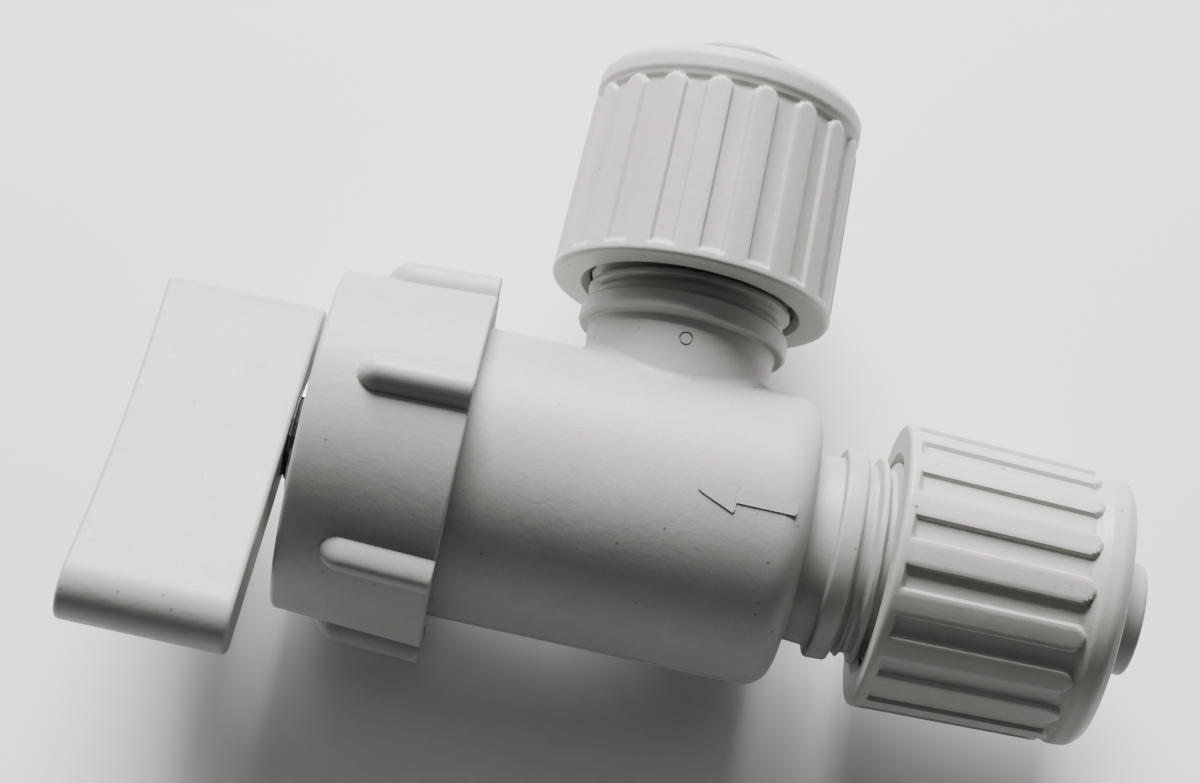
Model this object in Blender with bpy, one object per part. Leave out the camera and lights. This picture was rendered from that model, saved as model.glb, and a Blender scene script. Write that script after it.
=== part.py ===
"""Diaphragm stop valve for flexible water tube, with a lever handle and two compression ports.

Frame: +X runs along the main axis, from the handle to the inlet, and +Y runs along the outlet
branch. +Z is square to both. The origin is the centre of the inlet insert's mouth.
Stations along an axis are measured from the point where the two axes cross.
"""
import math

import bmesh
import bpy
import numpy as np

MM = 0.001

# Clearances
REST_GAP = 0.3 * MM
THREAD_GAP = 0.3 * MM
TURNING_GAP = 0.2 * MM

# Tube that the ports take
TUBE_OUTER_R = 7.95 * MM
TUBE_INNER_R = TUBE_OUTER_R - 1.8 * MM
TUBE_SLIP = 0.2 * MM

# Barrel and its passages
BARREL_R = 15.85 * MM
BARREL_END = 16.5 * MM
BARREL_FILLET = 3.0 * MM
BARREL_MOUTH = -26.3 * MM
CHAMBER_R = BARREL_R - 3.65 * MM
CHAMBER_FLOOR = 12.5 * MM
SEAT_STATION = -22.4 * MM
NOZZLE_R = 6.8 * MM
BORE_R = 4.6 * MM

# Bonnet nut and its thread
BONNET_LEAD = 2.2 * MM
BONNET_THREAD_DEPTH = 1.0 * MM
BONNET_NUT_LENGTH = 16.6 * MM
BONNET_NUT_BACK = -20.4 * MM
BONNET_NUT_FRONT_R = BARREL_R + 2.65 * MM
BONNET_NUT_BACK_R = BARREL_R + 3.55 * MM
BONNET_LIP = 1.7 * MM
LUG_COUNT = 6
LUG_HEIGHT = 2.0 * MM
LUG_WIDTH = 3.8 * MM
LUG_SETBACK = 5.2 * MM
LUG_PHASE = math.radians(18.5)

# Bonnet, stem and plunger
SLIP_RING_THICKNESS = 0.8 * MM
SNOUT_R = 11.4 * MM
SNOUT_REACH = 0.4 * MM
BONNET_FLANGE_R = BARREL_R - 0.15 * MM
BONNET_WALL = 2.0 * MM
STEM_R = 4.9 * MM
STEM_COLLAR_R = 7.0 * MM
STEM_COLLAR_THICKNESS = 1.3 * MM
WASHER_THICKNESS = 0.6 * MM
O_RING_SECTION_R = 0.42 * MM
CLIP_THICKNESS = 0.6 * MM
CLIP_R = 6.4 * MM
TANG_SIDE = 5.0 * MM
TANG_LENGTH = 7.0 * MM
STEM_LEAD = 2.0 * MM
STEM_THREAD_R = 2.5 * MM
STEM_THREAD_DEPTH = 0.5 * MM
LIFT = 2.4 * MM
PLUNGER_R = 7.4 * MM
PLUNGER_LUG_REACH = 9.2 * MM
PLUNGER_LUG_WIDTH = 3.0 * MM
PLUNGER_LUG_LENGTH = 1.2 * MM

# Diaphragm
DIAPHRAGM_RIM = 1.6 * MM
DIAPHRAGM_WEB = 1.0 * MM
DIAPHRAGM_BOSS = 1.5 * MM
DIAPHRAGM_BOSS_R = 6.4 * MM

# Handle
HANDLE_LENGTH = 48.1 * MM
HANDLE_THICKNESS = 7.5 * MM
HANDLE_DEPTH = 17.84 * MM
HANDLE_OFFSET = -6.1 * MM
HANDLE_DISH = 0.7 * MM
HANDLE_STANDOFF = 2.0 * MM
HANDLE_ANGLE = math.radians(-28.9)
HANDLE_EDGE = 0.5 * MM
HANDLE_BRIDGE = 3.5 * MM

# Small screws
SCREW_R = 1.1 * MM
SCREW_HEAD_R = 2.5 * MM
SCREW_HEAD_HEIGHT = 1.6 * MM
HANDLE_SCREW_REACH = 9.0 * MM
DIAPHRAGM_SCREW_REACH = 4.5 * MM

# Ports: stations of the flange, the nut's open rim and the insert's mouth
# and the angle of the first groove on the nut
INLET = {"flange": 19.75 * MM, "rim": 25.5 * MM, "mouth": 53.9 * MM,
         "groove": math.radians(5.7)}
OUTLET = {"flange": 19.4 * MM, "rim": 24.2 * MM, "mouth": 53.0 * MM,
          "groove": math.radians(11.5)}
NECK_ROOT_R = TUBE_OUTER_R + 2.25 * MM
NECK_THREAD_DEPTH = 0.95 * MM
NECK_LEAD = 2.0 * MM
NECK_THREAD_RUNOUT = 1.4 * MM
NECK_LENGTH_PAST_RIM = 11.0 * MM
SOCKET_DEPTH = 16.0 * MM
MOUTH_TAPER = 0.9 * MM
MOUTH_TAPER_LENGTH = 3.0 * MM
FLANGE_R = NECK_ROOT_R + 1.3 * MM
FLANGE_WIDTH = 2.4 * MM

# Compression nuts
NUT_LENGTH = 24.8 * MM
NUT_RIM_R = NECK_ROOT_R + 5.36 * MM
NUT_END_R = NECK_ROOT_R + 4.7 * MM
NUT_SHOULDER_R = 1.6 * MM
NUT_END_WALL = 2.2 * MM
NUT_THREAD_LENGTH = 7.6 * MM
FLUTE_COUNT = 18
FLUTE_DEPTH = 0.7 * MM
FLUTE_SHARE = 0.46
FLUTE_SIDE = 0.09
RIM_BAND = 1.5 * MM
SHOULDER_BAND = 3.6 * MM

# Cone, spacer washer and grip ring inside each compression nut
CONE_COLLAR = 3.0 * MM
SPACER_THICKNESS = 0.8 * MM
RING_LENGTH = 3.6 * MM
RING_TAPER = 1.1 * MM
RING_SPLIT = 1.5 * MM

FULL_TURN = 2 * math.pi
BARREL_SIDES = 32
NECK_SIDES = 20
SMALL_SIDES = 16
ROUND_SIDES = 24


def clear_scene():
    for old in list(bpy.data.objects):
        bpy.data.objects.remove(old, do_unlink=True)


def even_angles(sides):
    return np.linspace(0.0, FULL_TURN, sides + 1)


def turned(rows, angles):
    """A mesh swept round X from rows of (station, radius), each a number or one value an angle.

    The rows run towards +X along the outside and back along the inside. Points that meet, at
    the seam, on the axis and where a thread runs out, are merged."""
    count = len(angles)
    station = np.stack([np.broadcast_to(x, count) for x, _ in rows])
    radius = np.stack([np.broadcast_to(r, count) for _, r in rows])
    points = np.stack([station, radius * np.cos(angles), radius * np.sin(angles)], axis=-1)
    index = np.arange(len(rows) * count).reshape(len(rows), count)
    quads = np.stack([index[:-1, :-1], index[:-1, 1:], index[1:, 1:], index[1:, :-1]], axis=-1)
    mesh = bpy.data.meshes.new("turned")
    mesh.from_pydata(points.reshape(-1, 3).tolist(), [], quads.reshape(-1, 4).tolist())
    merge_points(mesh)
    return mesh


def turned_ring(rows, angles):
    """A ring with a hole along the axis: its outline returns to its first row."""
    return turned(list(rows) + [rows[0]], angles)


def merge_points(mesh):
    shape = bmesh.new()
    shape.from_mesh(mesh)
    bmesh.ops.remove_doubles(shape, verts=shape.verts, dist=2e-7)
    bmesh.ops.dissolve_degenerate(shape, edges=shape.edges, dist=2e-7)
    shape.to_mesh(mesh)
    shape.free()


def thread_rows(datum, lead, first, last, low, high, angles, inside=False, left_hand=False):
    """Rows that follow a helix, a quarter of the lead apart, from quarter first to quarter last.

    Two quarters lie on the low radius and two on the high one. The ridge fades out at both
    ends, to the low radius on an outside thread and to the high one inside a nut."""
    hand = -1.0 if left_hand else 1.0
    start = datum + first * lead / 4
    stop = datum + last * lead / 4
    quarters = range(first, last + 5) if left_hand else range(first - 4, last + 1)
    rows = []
    for quarter in quarters:
        station = datum + quarter * lead / 4 + hand * lead * angles / FULL_TURN
        station = np.clip(station, start, stop)
        fade = np.clip(np.minimum(station - start, stop - station) / (lead / 2), 0.0, 1.0)
        crest = 1.0 if quarter % 4 >= 2 else 0.0
        height = (high - low) * fade
        radius = high - (1.0 - crest) * height if inside else low + crest * height
        rows.append((station, radius))
    return rows


def arc_rows(station, radius, size, start, stop, steps):
    """Rows round a quarter circle of the given size, about the point (station, radius)."""
    turn = np.linspace(start, stop, steps)
    return [(station + size * math.cos(t), radius + size * math.sin(t)) for t in turn]


def box_mesh(low, high):
    shape = bmesh.new()
    bmesh.ops.create_cube(shape, size=1.0)
    for vert in shape.verts:
        for axis in range(3):
            vert.co[axis] = low[axis] + (vert.co[axis] + 0.5) * (high[axis] - low[axis])
    mesh = bpy.data.meshes.new("box")
    shape.to_mesh(mesh)
    shape.free()
    return mesh


def combine(mesh, other, operation):
    """The exact union or difference of two meshes, as a new mesh."""
    base = bpy.data.objects.new("base", mesh)
    tool = bpy.data.objects.new("tool", other)
    for item in (base, tool):
        bpy.context.scene.collection.objects.link(item)
    modifier = base.modifiers.new("combine", "BOOLEAN")
    modifier.operation = operation
    modifier.solver = "EXACT"
    modifier.object = tool
    graph = bpy.context.evaluated_depsgraph_get()
    result = bpy.data.meshes.new_from_object(base.evaluated_get(graph))
    for item in (base, tool):
        bpy.data.objects.remove(item, do_unlink=True)
    merge_points(result)
    return result


def join(mesh, *others):
    for other in others:
        mesh = combine(mesh, other, "UNION")
    return mesh


def cut(mesh, *others):
    for other in others:
        mesh = combine(mesh, other, "DIFFERENCE")
    return mesh


def plug(start, stop, radius, sides=ROUND_SIDES):
    """A plain round bar from start to stop, used as a cutter or a core."""
    rows = [(start, 0.0), (start, radius), (stop, radius), (stop, 0.0)]
    return turned(rows, even_angles(sides))


def along_branch(mesh):
    """Turns a mesh built along X so that it lies along +Y."""
    shape = bmesh.new()
    shape.from_mesh(mesh)
    for vert in shape.verts:
        x, y, z = vert.co
        vert.co = (-y, x, z)
    shape.to_mesh(mesh)
    shape.free()
    return mesh


def material(name, colour, roughness, metallic=0.0):
    made = bpy.data.materials.new(name)
    made.use_nodes = True
    shader = made.node_tree.nodes["Principled BSDF"]
    shader.inputs["Base Color"].default_value = (*colour, 1.0)
    shader.inputs["Roughness"].default_value = roughness
    shader.inputs["Metallic"].default_value = metallic
    return made


def empty(name, location, parent=None, turn=0.0):
    made = bpy.data.objects.new(name, None)
    made.location = location
    made.rotation_euler = (0.0, 0.0, turn)
    made.parent = parent
    bpy.context.scene.collection.objects.link(made)
    return made


def add(name, mesh, station, parent, finish):
    """A named piece whose origin is on its parent's X axis, at the given station."""
    points = np.empty(len(mesh.vertices) * 3)
    mesh.vertices.foreach_get("co", points)
    points[0::3] -= station
    mesh.vertices.foreach_set("co", points)
    mesh.name = name
    mesh.materials.clear()
    mesh.materials.append(finish)
    mesh.shade_smooth()
    mesh.set_sharp_from_angle(angle=math.radians(35))
    made = bpy.data.objects.new(name, mesh)
    made.location = (station, 0.0, 0.0)
    made.parent = parent
    bpy.context.scene.collection.objects.link(made)
    return made


# Stations that follow from the sizes above
NUT_FRONT = BONNET_NUT_BACK - BONNET_NUT_LENGTH
LIP_BACK = NUT_FRONT + BONNET_LIP
SLIP_BACK = LIP_BACK + REST_GAP + SLIP_RING_THICKNESS
FLANGE_FRONT = SLIP_BACK + REST_GAP
RIM_FRONT = BARREL_MOUTH - REST_GAP - DIAPHRAGM_RIM
FLANGE_BACK = RIM_FRONT - REST_GAP
SNOUT_FRONT = NUT_FRONT - SNOUT_REACH
CAVITY_FRONT = SNOUT_FRONT + BONNET_WALL
WASHER_FRONT = CAVITY_FRONT + REST_GAP
COLLAR_FRONT = WASHER_FRONT + WASHER_THICKNESS + REST_GAP
STEM_BACK = COLLAR_FRONT + STEM_COLLAR_THICKNESS
HANDLE_BACK = NUT_FRONT - HANDLE_STANDOFF
STEM_SHOULDER = HANDLE_BACK + TURNING_GAP
TANG_FRONT = STEM_SHOULDER - TANG_LENGTH
HANDLE_SHELF = TANG_FRONT - HANDLE_BRIDGE
HANDLE_SCREW_TIP = HANDLE_SHELF - REST_GAP + HANDLE_SCREW_REACH
BOSS_BACK = SEAT_STATION - REST_GAP
BOSS_FRONT = BOSS_BACK - DIAPHRAGM_BOSS
PLUNGER_BACK = BOSS_FRONT - REST_GAP
PLUNGER_FRONT = STEM_BACK + REST_GAP + LIFT
STEM_BORE_FRONT = STEM_SHOULDER + 0.5 * MM
SHANK_FRONT = STEM_BORE_FRONT + REST_GAP + LIFT
GUIDE_R = PLUNGER_R + 2 * TURNING_GAP
NECK_CREST_R = NECK_ROOT_R + NECK_THREAD_DEPTH
SOCKET_R = TUBE_OUTER_R + TUBE_SLIP
BONNET_CREST_R = BARREL_R + BONNET_THREAD_DEPTH


def neck_outline(port, angles):
    """Outside of one threaded neck, from inside the barrel to the neck's open end."""
    flange_end = port["flange"] + FLANGE_WIDTH
    neck_end = port["rim"] + NECK_LENGTH_PAST_RIM
    rows = [(BARREL_END - 4 * MM, 0.0), (BARREL_END - 4 * MM, NECK_ROOT_R)]
    rows += [(port["flange"], NECK_ROOT_R), (port["flange"], FLANGE_R)]
    rows += [(flange_end, FLANGE_R), (flange_end, NECK_ROOT_R)]
    last = int((neck_end - NECK_THREAD_RUNOUT - neck_datum(port)) / (NECK_LEAD / 4))
    rows += thread_rows(neck_datum(port), NECK_LEAD, 0, last, NECK_ROOT_R, NECK_CREST_R, angles)
    rows += [(neck_end, NECK_ROOT_R - 0.1 * MM), (neck_end, 0.0)]
    return rows


def neck_datum(port):
    return port["flange"] + FLANGE_WIDTH + 0.4 * MM


def socket_outline(port):
    """Space inside one neck: where the tube's end goes, with a tapered mouth for the cone."""
    neck_end = port["rim"] + NECK_LENGTH_PAST_RIM
    rows = [(neck_end - SOCKET_DEPTH, 0.0), (neck_end - SOCKET_DEPTH, SOCKET_R)]
    rows += [(neck_end - MOUTH_TAPER_LENGTH, SOCKET_R), (neck_end, SOCKET_R + MOUTH_TAPER)]
    rows += [(neck_end + MM, SOCKET_R + MOUTH_TAPER), (neck_end + MM, 0.0)]
    return rows


def insert_outline(port):
    """The insert that the tube slides over, with a chamfered mouth."""
    root = port["rim"] + NECK_LENGTH_PAST_RIM - SOCKET_DEPTH - 2 * MM
    mouth = port["mouth"]
    rows = [(root, 0.0), (root, TUBE_INNER_R)]
    rows += [(mouth - 0.4 * MM, TUBE_INNER_R), (mouth, TUBE_INNER_R - 0.35 * MM), (mouth, 0.0)]
    return rows


def barrel_outline(angles):
    rows = [(BARREL_MOUTH, 0.0), (BARREL_MOUTH, BARREL_R)]
    rows += thread_rows(BARREL_MOUTH, BONNET_LEAD, 1, 8, BARREL_R, BONNET_CREST_R, angles)
    rows += arc_rows(BARREL_END - BARREL_FILLET, BARREL_R - BARREL_FILLET, BARREL_FILLET,
                     math.pi / 2, 0.0, 5)
    rows += [(BARREL_END, 0.0)]
    return rows


def chamber_outline():
    """Space round the nozzle and in front of the seat."""
    front = BARREL_MOUTH - MM
    rows = [(front, 0.0), (front, CHAMBER_R), (CHAMBER_FLOOR, CHAMBER_R)]
    rows += [(CHAMBER_FLOOR, NOZZLE_R), (SEAT_STATION + 0.5 * MM, NOZZLE_R)]
    rows += [(SEAT_STATION, NOZZLE_R - 0.5 * MM), (SEAT_STATION, 0.0)]
    return rows


def make_body(frame, finish):
    barrel_angles = even_angles(BARREL_SIDES)
    neck_angles = even_angles(NECK_SIDES)
    round_angles = even_angles(ROUND_SIDES)
    body = turned(barrel_outline(barrel_angles), barrel_angles)
    body = join(body, turned(neck_outline(INLET, neck_angles), neck_angles))
    body = join(body, along_branch(turned(branch_outline(neck_angles), neck_angles)))
    body = cut(body, turned(chamber_outline(), barrel_angles))
    body = cut(body, turned(socket_outline(INLET), round_angles))
    body = cut(body, along_branch(turned(socket_outline(OUTLET), round_angles)))
    body = join(body, turned(insert_outline(INLET), round_angles))
    body = join(body, along_branch(turned(insert_outline(OUTLET), round_angles)))
    body = cut(body, plug(SEAT_STATION - MM, INLET["mouth"] + MM, BORE_R))
    branch_bore = plug((NOZZLE_R + CHAMBER_R) / 2, OUTLET["mouth"] + MM, BORE_R)
    body = cut(body, along_branch(branch_bore))
    return add("valve_body", body, 0.0, frame, finish)


def branch_outline(angles):
    """The outlet neck starts in the middle of the barrel, before the chamber is cut."""
    rows = neck_outline(OUTLET, angles)
    return [(0.0, 0.0), (0.0, NECK_ROOT_R)] + rows[2:]


def make_bonnet(frame, finish):
    rows = [(SNOUT_FRONT, SNOUT_R - 0.3 * MM), (SNOUT_FRONT + 0.3 * MM, SNOUT_R)]
    rows += [(FLANGE_FRONT, SNOUT_R), (FLANGE_FRONT, BONNET_FLANGE_R)]
    rows += [(FLANGE_BACK, BONNET_FLANGE_R), (FLANGE_BACK, GUIDE_R), (CAVITY_FRONT, GUIDE_R)]
    hole = STEM_R + 1.5 * TURNING_GAP
    rows += [(CAVITY_FRONT, hole), (SNOUT_FRONT, hole)]
    bonnet = turned_ring(rows, even_angles(ROUND_SIDES))
    reach = PLUNGER_LUG_REACH + REST_GAP
    half = PLUNGER_LUG_WIDTH / 2 + REST_GAP
    slot_front = PLUNGER_FRONT - LIFT - REST_GAP
    bonnet = cut(bonnet, box_mesh((slot_front, -half, -reach), (FLANGE_BACK + MM, half, reach)))
    return add("bonnet", bonnet, FLANGE_FRONT, frame, finish)


def make_stem(frame, finish):
    angles = even_angles(SMALL_SIDES)
    clip_front = SNOUT_FRONT - 0.3 * MM - CLIP_THICKNESS - 0.3 * MM
    groove_r = STEM_R - 0.8 * MM
    ring_mid = o_ring_station()
    ring_half = O_RING_SECTION_R + 0.1 * MM
    ring_groove_r = STEM_R - 1.0 * MM
    rows = [(STEM_SHOULDER, 0.0), (STEM_SHOULDER, STEM_R), (clip_front, STEM_R)]
    rows += [(clip_front, groove_r), (SNOUT_FRONT - 0.15 * MM, groove_r)]
    rows += [(SNOUT_FRONT - 0.15 * MM, STEM_R), (ring_mid - ring_half, STEM_R)]
    rows += [(ring_mid - ring_half, ring_groove_r), (ring_mid + ring_half, ring_groove_r)]
    rows += [(ring_mid + ring_half, STEM_R), (COLLAR_FRONT, STEM_R)]
    rows += [(COLLAR_FRONT, STEM_COLLAR_R), (STEM_BACK, STEM_COLLAR_R)]
    low = STEM_THREAD_R - STEM_THREAD_DEPTH + THREAD_GAP
    high = STEM_THREAD_R + THREAD_GAP
    rows += [(STEM_BACK, high)]
    bore = thread_rows(STEM_BACK, STEM_LEAD, -10, -1, low, high, angles, inside=True,
                       left_hand=True)
    rows += bore[::-1]
    rows += [(STEM_BORE_FRONT, high), (STEM_BORE_FRONT, 0.0)]
    stem = turned(rows, angles)
    half = TANG_SIDE / 2
    stem = join(stem, box_mesh((TANG_FRONT, -half, -half), (STEM_SHOULDER + 0.2 * MM, half, half)))
    pilot = HANDLE_SCREW_TIP - REST_GAP
    stem = cut(stem, plug(TANG_FRONT - MM, pilot + 2 * REST_GAP, SCREW_R + REST_GAP, 12))
    return add("stem", stem, COLLAR_FRONT, frame, finish)


def o_ring_station():
    return (SNOUT_FRONT + CAVITY_FRONT) / 2


def make_stem_seals(frame, rubber, slick, steel):
    """The stem's O-ring, thrust washer and retaining clip."""
    section = np.linspace(0.0, FULL_TURN, 9)[:-1]
    middle = STEM_R - 0.4 * MM
    rows = [(o_ring_station() - O_RING_SECTION_R * math.cos(t),
             middle + O_RING_SECTION_R * math.sin(t)) for t in section]
    ring = turned_ring(rows, even_angles(ROUND_SIDES))
    add("stem_o_ring", ring, o_ring_station(), frame, rubber)
    washer = washer_mesh(WASHER_FRONT, WASHER_THICKNESS, STEM_R + 2 * TURNING_GAP,
                         STEM_COLLAR_R + TURNING_GAP)
    add("thrust_washer", washer, WASHER_FRONT, frame, slick)
    clip_back = SNOUT_FRONT - 0.3 * MM
    clip = washer_mesh(clip_back - CLIP_THICKNESS, CLIP_THICKNESS, STEM_R - 0.6 * MM, CLIP_R)
    half = STEM_R * 0.6
    clip = cut(clip, box_mesh((clip_back - 2 * MM, -half, 0.0), (clip_back + MM, half, 2 * CLIP_R)))
    add("stem_clip", clip, clip_back, frame, steel)


def washer_mesh(front, thickness, inner, outer, sides=ROUND_SIDES):
    back = front + thickness
    rows = [(front, outer), (back, outer), (back, inner), (front, inner)]
    return turned_ring(rows, even_angles(sides))


def make_plunger(frame, finish):
    angles = even_angles(SMALL_SIDES)
    low = STEM_THREAD_R - STEM_THREAD_DEPTH
    rows = [(SHANK_FRONT, 0.0), (SHANK_FRONT, low)]
    first = math.ceil((SHANK_FRONT - STEM_BACK) / (STEM_LEAD / 4))
    rows += thread_rows(STEM_BACK, STEM_LEAD, first, 2, low, STEM_THREAD_R, angles,
                        left_hand=True)
    rows += [(PLUNGER_FRONT, low), (PLUNGER_FRONT, PLUNGER_R)]
    nose_r = DIAPHRAGM_BOSS_R - 0.5 * MM
    rows += [(PLUNGER_BACK - 2.5 * MM, PLUNGER_R), (PLUNGER_BACK, nose_r), (PLUNGER_BACK, 0.0)]
    plunger = turned(rows, angles)
    half = PLUNGER_LUG_WIDTH / 2
    lug_back = PLUNGER_FRONT + PLUNGER_LUG_LENGTH
    plunger = join(plunger, box_mesh((PLUNGER_FRONT, -half, -PLUNGER_LUG_REACH),
                                     (lug_back, half, PLUNGER_LUG_REACH)))
    hole = plug(BOSS_FRONT - DIAPHRAGM_SCREW_REACH, PLUNGER_BACK + MM, SCREW_R + REST_GAP, 12)
    plunger = cut(plunger, hole)
    return add("plunger", plunger, PLUNGER_FRONT, frame, finish)


def diaphragm_outline():
    """Clamped rim, a web that slopes back to the boss, and a boss with the screw's hole."""
    rim_back = RIM_FRONT + DIAPHRAGM_RIM
    rim_outer = BONNET_FLANGE_R - 0.3 * MM
    rim_inner = CHAMBER_R + 0.1 * MM
    web_outer = CHAMBER_R - 0.7 * MM
    web_inner = DIAPHRAGM_BOSS_R + 0.8 * MM
    steps = 5
    share = np.linspace(0.0, 1.0, steps)
    sweep = (1 - np.cos(math.pi * share)) / 2
    radius = web_outer + (web_inner - web_outer) * share
    back = rim_back - 0.2 * MM + (BOSS_BACK - rim_back) * sweep
    front = back - DIAPHRAGM_WEB
    rows = [(RIM_FRONT, rim_outer), (rim_back, rim_outer), (rim_back, rim_inner)]
    rows += list(zip(back, radius))
    rows += [(BOSS_BACK, DIAPHRAGM_BOSS_R), (BOSS_BACK, SCREW_R + REST_GAP)]
    rows += [(BOSS_FRONT, SCREW_R + REST_GAP), (BOSS_FRONT, DIAPHRAGM_BOSS_R)]
    rows += list(zip(front, radius))[::-1]
    rows += [(RIM_FRONT, rim_inner)]
    return rows


def make_diaphragm(frame, rubber, brass):
    mesh = turned_ring(diaphragm_outline(), even_angles(ROUND_SIDES))
    add("diaphragm", mesh, BOSS_BACK, frame, rubber)
    head = BOSS_BACK + REST_GAP
    screw = join(plug(head - DIAPHRAGM_SCREW_REACH, head + 0.2 * MM, SCREW_R, 12),
                 screw_head(head, head + SCREW_HEAD_HEIGHT))
    add("diaphragm_screw", screw, head, frame, brass)


def screw_head(seat, top):
    """A domed head from its seat to its top, which may lie either way along the axis."""
    step = top - seat
    rows = [(seat, 0.0), (seat, SCREW_HEAD_R), (seat + 0.5 * step, SCREW_HEAD_R)]
    rows += [(seat + 0.85 * step, 0.75 * SCREW_HEAD_R), (top, 0.4 * SCREW_HEAD_R), (top, 0.0)]
    if step < 0:
        rows = rows[::-1]
    return turned(rows, even_angles(12))


def lug_angles():
    """Angles round the bonnet nut: four for each lug and four between two lugs."""
    half = LUG_WIDTH / BONNET_NUT_BACK_R / 2
    steps = [-1.25 * half, -0.6 * half, 0.6 * half, 1.25 * half]
    pitch = FULL_TURN / LUG_COUNT
    between = np.linspace(1.25 * half, pitch - 1.25 * half, 5)[1:-1]
    pattern = np.concatenate([steps, between])
    height = np.array([0.0, 1.0, 1.0, 0.0] + [0.0] * len(between))
    angles = np.concatenate([pattern + k * pitch for k in range(LUG_COUNT)])
    heights = np.tile(height, LUG_COUNT)
    angles = np.append(angles, angles[0] + FULL_TURN) + LUG_PHASE
    return angles, np.append(heights, heights[0])


def make_bonnet_nut(frame, plastic):
    angles, lug = lug_angles()
    length = BONNET_NUT_LENGTH
    taper = (BONNET_NUT_BACK_R - BONNET_NUT_FRONT_R) / length
    lug_start = NUT_FRONT + LUG_SETBACK

    def row(station, height=0.0):
        return (station, BONNET_NUT_FRONT_R + taper * (station - NUT_FRONT) + height * lug)

    rows = [(NUT_FRONT, 0.0), (NUT_FRONT, BONNET_NUT_FRONT_R - 1.0 * MM)]
    rows += [(NUT_FRONT + 0.3 * MM, BONNET_NUT_FRONT_R - 0.3 * MM), row(NUT_FRONT + 1.0 * MM)]
    rows += [row(lug_start), row(lug_start + 0.6 * MM, 0.75 * LUG_HEIGHT)]
    rows += [row(lug_start + 1.6 * MM, LUG_HEIGHT), row(BONNET_NUT_BACK, LUG_HEIGHT)]
    rows += [(BONNET_NUT_BACK, 0.0)]
    outside = turned(rows, angles)
    high = BONNET_CREST_R + THREAD_GAP
    low = BARREL_R + THREAD_GAP
    turn = even_angles(ROUND_SIDES)
    inner = [(NUT_FRONT - MM, 0.0), (NUT_FRONT - MM, SNOUT_R + 2 * REST_GAP)]
    inner += [(LIP_BACK, SNOUT_R + 2 * REST_GAP), (LIP_BACK, high)]
    inner += thread_rows(BARREL_MOUTH, BONNET_LEAD, 0, 9, low, high, turn, inside=True)
    inner += [(BONNET_NUT_BACK - 0.5 * MM, high), (BONNET_NUT_BACK + MM, high + 1.2 * MM)]
    inner += [(BONNET_NUT_BACK + MM, 0.0)]
    nut = cut(outside, turned(inner, turn))
    add("bonnet_nut", nut, BONNET_NUT_BACK, frame, plastic)


def make_slip_ring(frame, slick):
    ring = washer_mesh(LIP_BACK + REST_GAP, SLIP_RING_THICKNESS, SNOUT_R + 1.3 * REST_GAP,
                       BONNET_FLANGE_R)
    add("bonnet_slip_ring", ring, LIP_BACK, frame, slick)


def handle_outline():
    """Points round the bar's end view: two straight flanks and two full-round ends."""
    half = HANDLE_THICKNESS / 2
    reach = HANDLE_LENGTH / 2 - half
    turn = np.linspace(-math.pi / 2, math.pi / 2, 9)
    right = np.stack([reach + half * np.cos(turn), half * np.sin(turn)], axis=1)
    flank = np.stack([np.linspace(reach, -reach, 9)[1:-1], np.full(7, half)], axis=1)
    upper = np.concatenate([right, flank])
    return np.concatenate([upper, -upper])


def make_handle(frame, plastic, steel):
    outline = handle_outline()
    reach = HANDLE_LENGTH / 2
    front = HANDLE_BACK - HANDLE_DEPTH
    dish = HANDLE_DISH * np.clip(1 - (outline[:, 0] / reach) ** 2, 0.0, 1.0)
    count = len(outline)
    along = outline[:, 0] + HANDLE_OFFSET
    near = np.stack([np.full(count, HANDLE_BACK), along, outline[:, 1]], axis=1)
    far = np.stack([front + dish, along, outline[:, 1]], axis=1)
    step = np.arange(count)
    after = (step + 1) % count
    sides = np.stack([step, step + count, after + count, after], axis=1).tolist()
    mesh = bpy.data.meshes.new("bar")
    mesh.from_pydata(np.concatenate([near, far]).tolist(), [],
                     sides + handle_cap(count, 0) + handle_cap(count, count))
    bar = bevelled(mesh, HANDLE_EDGE)
    half = TANG_SIDE / 2 + TURNING_GAP
    bar = cut(bar, box_mesh((TANG_FRONT - REST_GAP, -half, -half), (HANDLE_BACK + MM, half, half)))
    bar = cut(bar, plug(HANDLE_SHELF - MM, TANG_FRONT + MM, SCREW_R + REST_GAP, 12))
    bar = cut(bar, plug(front - MM, HANDLE_SHELF, SCREW_HEAD_R + REST_GAP, 16))
    handle = add("handle", bar, HANDLE_BACK, frame, plastic)
    seat = HANDLE_SHELF - REST_GAP
    top = seat - SCREW_HEAD_HEIGHT
    screw = join(plug(seat - 0.2 * MM, HANDLE_SCREW_TIP, SCREW_R, 12), screw_head(seat, top))
    slot = box_mesh((top - MM, -0.35 * MM, -2 * SCREW_HEAD_R),
                    (top + 0.6 * MM, 0.35 * MM, 2 * SCREW_HEAD_R))
    fastener = add("handle_screw", cut(screw, slot), seat, frame, steel)
    stem = bpy.data.objects["stem"]
    for turned_piece in (handle, fastener, stem):
        turned_piece.rotation_euler = (HANDLE_ANGLE, 0.0, 0.0)


def handle_cap(count, first):
    """Strips of faces across one end of the bar, from one flank to the other."""
    half = count // 2
    strips = [(k, k + 1, count - 2 - k, count - 1 - k) for k in range(half - 1)]
    return [tuple(first + index for index in strip) for strip in strips]


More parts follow.
